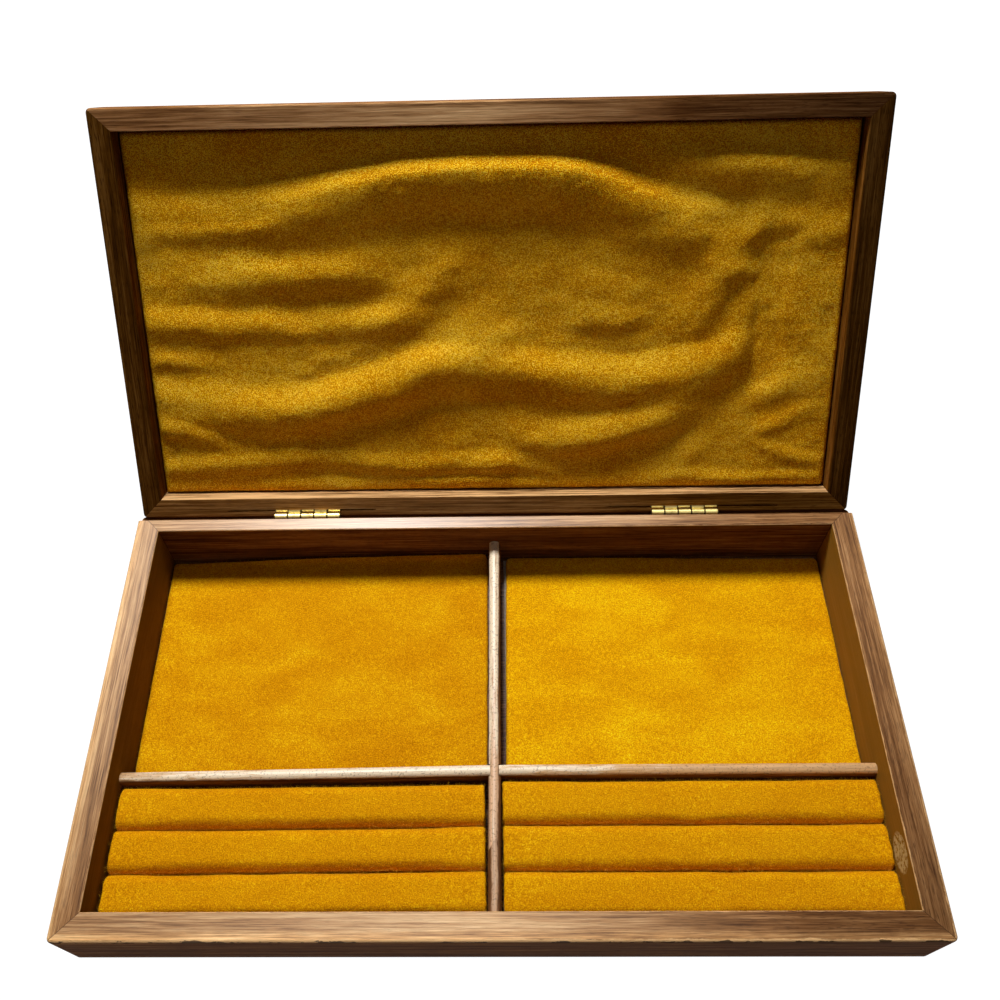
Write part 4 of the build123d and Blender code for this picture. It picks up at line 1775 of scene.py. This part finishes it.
@dataclass(frozen=True)
class Studio:
    """A plain pale floor, one soft lamp high behind the box, a faint fill and the camera."""

    camera_at: tuple = (0.428 * MM, -153.163 * MM, 421.565 * MM)
    pitch: float = 0.964698
    yaw: float = 0.039866
    roll: float = -0.045119
    lens: float = 36.4295
    shift: tuple = (0.030158, -0.039984)
    key_at: tuple = (-0.140, 0.500, 0.900)
    key_size: float = 0.23
    key_power: float = 10.9
    fill_at: tuple = (0.10, -0.55, 0.95)
    fill_size: float = 0.5
    fill_power: float = 0.35
    glint_at: tuple = (-0.214, 0.771, 1.344)
    glint_size: float = 0.35
    glint_power: float = 30.0
    ambient: float = 0.07
    ambient_colour: tuple = (1.0, 0.70, 0.55)
    floor_colour: tuple = (0.30, 0.30, 0.30)
    floor_reach: float = 4.0
    floor_gap: float = 0.2 * MM
    seen_colour: tuple = (0.9, 0.9, 0.9)
    seen_glow: float = 1.12
    shadow_share: float = 0.10
    aim: tuple = (0.0, 0.04, 0.03)

    def seen_directly(self, tree: bpy.types.NodeTree) -> Socket:
        """One for camera, mirror and glass rays, nought for light that lights the box.

        Args:
            tree: The nodes that ask.

        Returns:
            The answer's socket.
        """
        path = tree.nodes.new("ShaderNodeLightPath")
        either = path.outputs["Is Camera Ray"]
        for name in ("Is Glossy Ray", "Is Transmission Ray"):
            node = tree.nodes.new("ShaderNodeMath")
            node.operation = "MAXIMUM"
            tree.links.new(either, node.inputs[0])
            tree.links.new(path.outputs[name], node.inputs[1])
            either = node.outputs[0]
        return either

    def light_world(self) -> None:
        """A dim even sky that shows white."""
        world = bpy.data.worlds.new("studio")
        world.use_nodes = True
        tree = world.node_tree
        tree.nodes.clear()
        dim, white = tree.nodes.new("ShaderNodeBackground"), tree.nodes.new("ShaderNodeBackground")
        dim.inputs["Strength"].default_value = self.ambient
        dim.inputs["Color"].default_value = (*self.ambient_colour, 1)
        white.inputs["Color"].default_value = (1, 1, 1, 1)
        mix, out = tree.nodes.new("ShaderNodeMixShader"), tree.nodes.new("ShaderNodeOutputWorld")
        tree.links.new(self.seen_directly(tree), mix.inputs[0])
        tree.links.new(dim.outputs[0], mix.inputs[1])
        tree.links.new(white.outputs[0], mix.inputs[2])
        tree.links.new(mix.outputs[0], out.inputs[0])
        bpy.context.scene.world = world

    def lay_floor(self) -> None:
        """A large floor, grey to the light that lights the box and near white to the eye.

        The eye sees a glow with a small share of matt white in it, which is what keeps shadows.
        """
        material = bpy.data.materials.new("studio_floor")
        material.use_nodes = True
        tree = material.node_tree
        tree.nodes.clear()
        matt, seen_matt = tree.nodes.new("ShaderNodeBsdfDiffuse"), tree.nodes.new("ShaderNodeBsdfDiffuse")
        matt.inputs["Color"].default_value = (*self.floor_colour, 1)
        seen_matt.inputs["Color"].default_value = (*self.seen_colour, 1)
        glow = tree.nodes.new("ShaderNodeEmission")
        seen, mix = tree.nodes.new("ShaderNodeMixShader"), tree.nodes.new("ShaderNodeMixShader")
        seen.inputs[0].default_value = self.shadow_share
        tree.links.new(glow.outputs[0], seen.inputs[1])
        tree.links.new(seen_matt.outputs[0], seen.inputs[2])
        glow.inputs["Strength"].default_value = self.seen_glow
        tree.links.new(self.seen_directly(tree), mix.inputs[0])
        tree.links.new(matt.outputs[0], mix.inputs[1])
        tree.links.new(seen.outputs[0], mix.inputs[2])
        out = tree.nodes.new("ShaderNodeOutputMaterial")
        tree.links.new(mix.outputs[0], out.inputs[0])
        mesh = bpy.data.meshes.new("studio_floor")
        reach = self.floor_reach
        corners = [(-reach, -reach, 0), (reach, -reach, 0), (reach, reach, 0), (-reach, reach, 0)]
        mesh.from_pydata(corners, [], [(0, 1, 2, 3)])
        mesh.materials.append(material)
        floor = bpy.data.objects.new("studio_floor", mesh)
        floor.location.z = -self.floor_gap
        bpy.context.scene.collection.objects.link(floor)

    def hang_lamp(self, name: str, at: tuple, size: float, power: float) -> Item:
        """Hangs a round lamp that faces the box.

        Args:
            name: The lamp's name.
            at: Where it hangs, in metres.
            size: Its diameter.
            power: Its power, in watts.

        Returns:
            The lamp.
        """
        lamp = bpy.data.lights.new(name, "AREA")
        lamp.shape = "DISK"
        lamp.size = size
        lamp.energy = power
        hung = bpy.data.objects.new(name, lamp)
        hung.location = at
        away = np.array(at) - np.array(self.aim)
        hung.rotation_mode = "QUATERNION"
        hung.rotation_quaternion = Vector(away).to_track_quat("Z", "Y")
        bpy.context.scene.collection.objects.link(hung)
        return hung

    def stand_camera(self) -> None:
        """Turns the camera by yaw, then pitch down, then roll, and frames the box."""
        cos, sin = math.cos, math.sin
        base = np.array([[1, 0, 0], [0, 0, -1], [0, 1, 0]], float)
        yaw, roll = (
            np.array([[cos(angle), -sin(angle), 0], [sin(angle), cos(angle), 0], [0, 0, 1]])
            for angle in (self.yaw, self.roll)
        )
        tilt = self.pitch
        down = np.array([[1, 0, 0], [0, cos(tilt), -sin(tilt)], [0, sin(tilt), cos(tilt)]])
        rows = roll @ down @ base @ yaw.T
        turn = Matrix(np.stack([rows[0], -rows[1], -rows[2]], 1).tolist()).to_4x4()
        data = bpy.data.cameras.new("camera")
        data.lens = self.lens
        data.sensor_width = 36.0
        data.shift_x, data.shift_y = self.shift
        data.clip_start, data.clip_end = 0.01, 20.0
        camera = bpy.data.objects.new("camera", data)
        camera.matrix_world = Matrix.Translation(self.camera_at) @ turn
        bpy.context.scene.collection.objects.link(camera)
        bpy.context.scene.camera = camera

    def build(self) -> None:
        """Sets up the whole studio."""
        bpy.context.scene.view_settings.view_transform = "Standard"
        self.light_world()
        self.lay_floor()
        self.hang_lamp("key_lamp", self.key_at, self.key_size, self.key_power)
        self.hang_lamp("fill_lamp", self.fill_at, self.fill_size, self.fill_power)
        glint = self.hang_lamp("glint_lamp", self.glint_at, self.glint_size, self.glint_power)
        glint.visible_diffuse = False
        self.stand_camera()
        log.info("studio: floor, lamps and camera")


def main() -> None:
    """Builds the studio, then dresses and builds every piece of the box."""
    logging.basicConfig(level=logging.INFO, format="%(name)s %(message)s")
    Studio().build()
    Joinery().build()
    Hardware().build()
    Backing().build()
    pads = {
        "left": Plush("pad_plush_left", cloud=0.22).build(),
        "right": Plush("pad_plush_right", red=0.80, green=0.37, cloud=0.22).build(),
    }
    roll_plush = Plush("roll_plush").build()
    # The lining's plush is a lighter, more speckled copy of the others: painted light that makes up for the
    # lamp grazing the lid.
    lining_plush = Plush(
        "lining_plush",
        red=0.80,
        green=0.335,
        blue=0.004,
        speckle=3.3,
        nap=0.40 * MM,
        lift=0.45 * MM,
        fleck=(0.98, 0.66, 0.085),
    ).build()
    foam = Fibreboard("pale_foam", (0.70, 0.62, 0.42), (0.52, 0.44, 0.28), 0.5 * MM).build()
    cotton = Fibreboard("cotton_wadding", (0.78, 0.75, 0.68), (0.60, 0.56, 0.48), 1.6 * MM).build()
    pile = LoosePile().build()
    BackPads().build(pads, pile)
    right = RollSet("right", (76.44 * MM, -53.85 * MM), 148.1 * MM, 16.9 * MM, 17.2 * MM)
    tilt = math.radians(0.45)
    left = RollSet("left", (-76.95 * MM, -54.46 * MM), 146.0 * MM, 16.11 * MM, 16.41 * MM, tilt)
    for rolls in (left, right):
        rolls.build(roll_plush, foam, pile)
    LidLining().build(lining_plush, cotton)


if __name__ == "__main__":
    main()
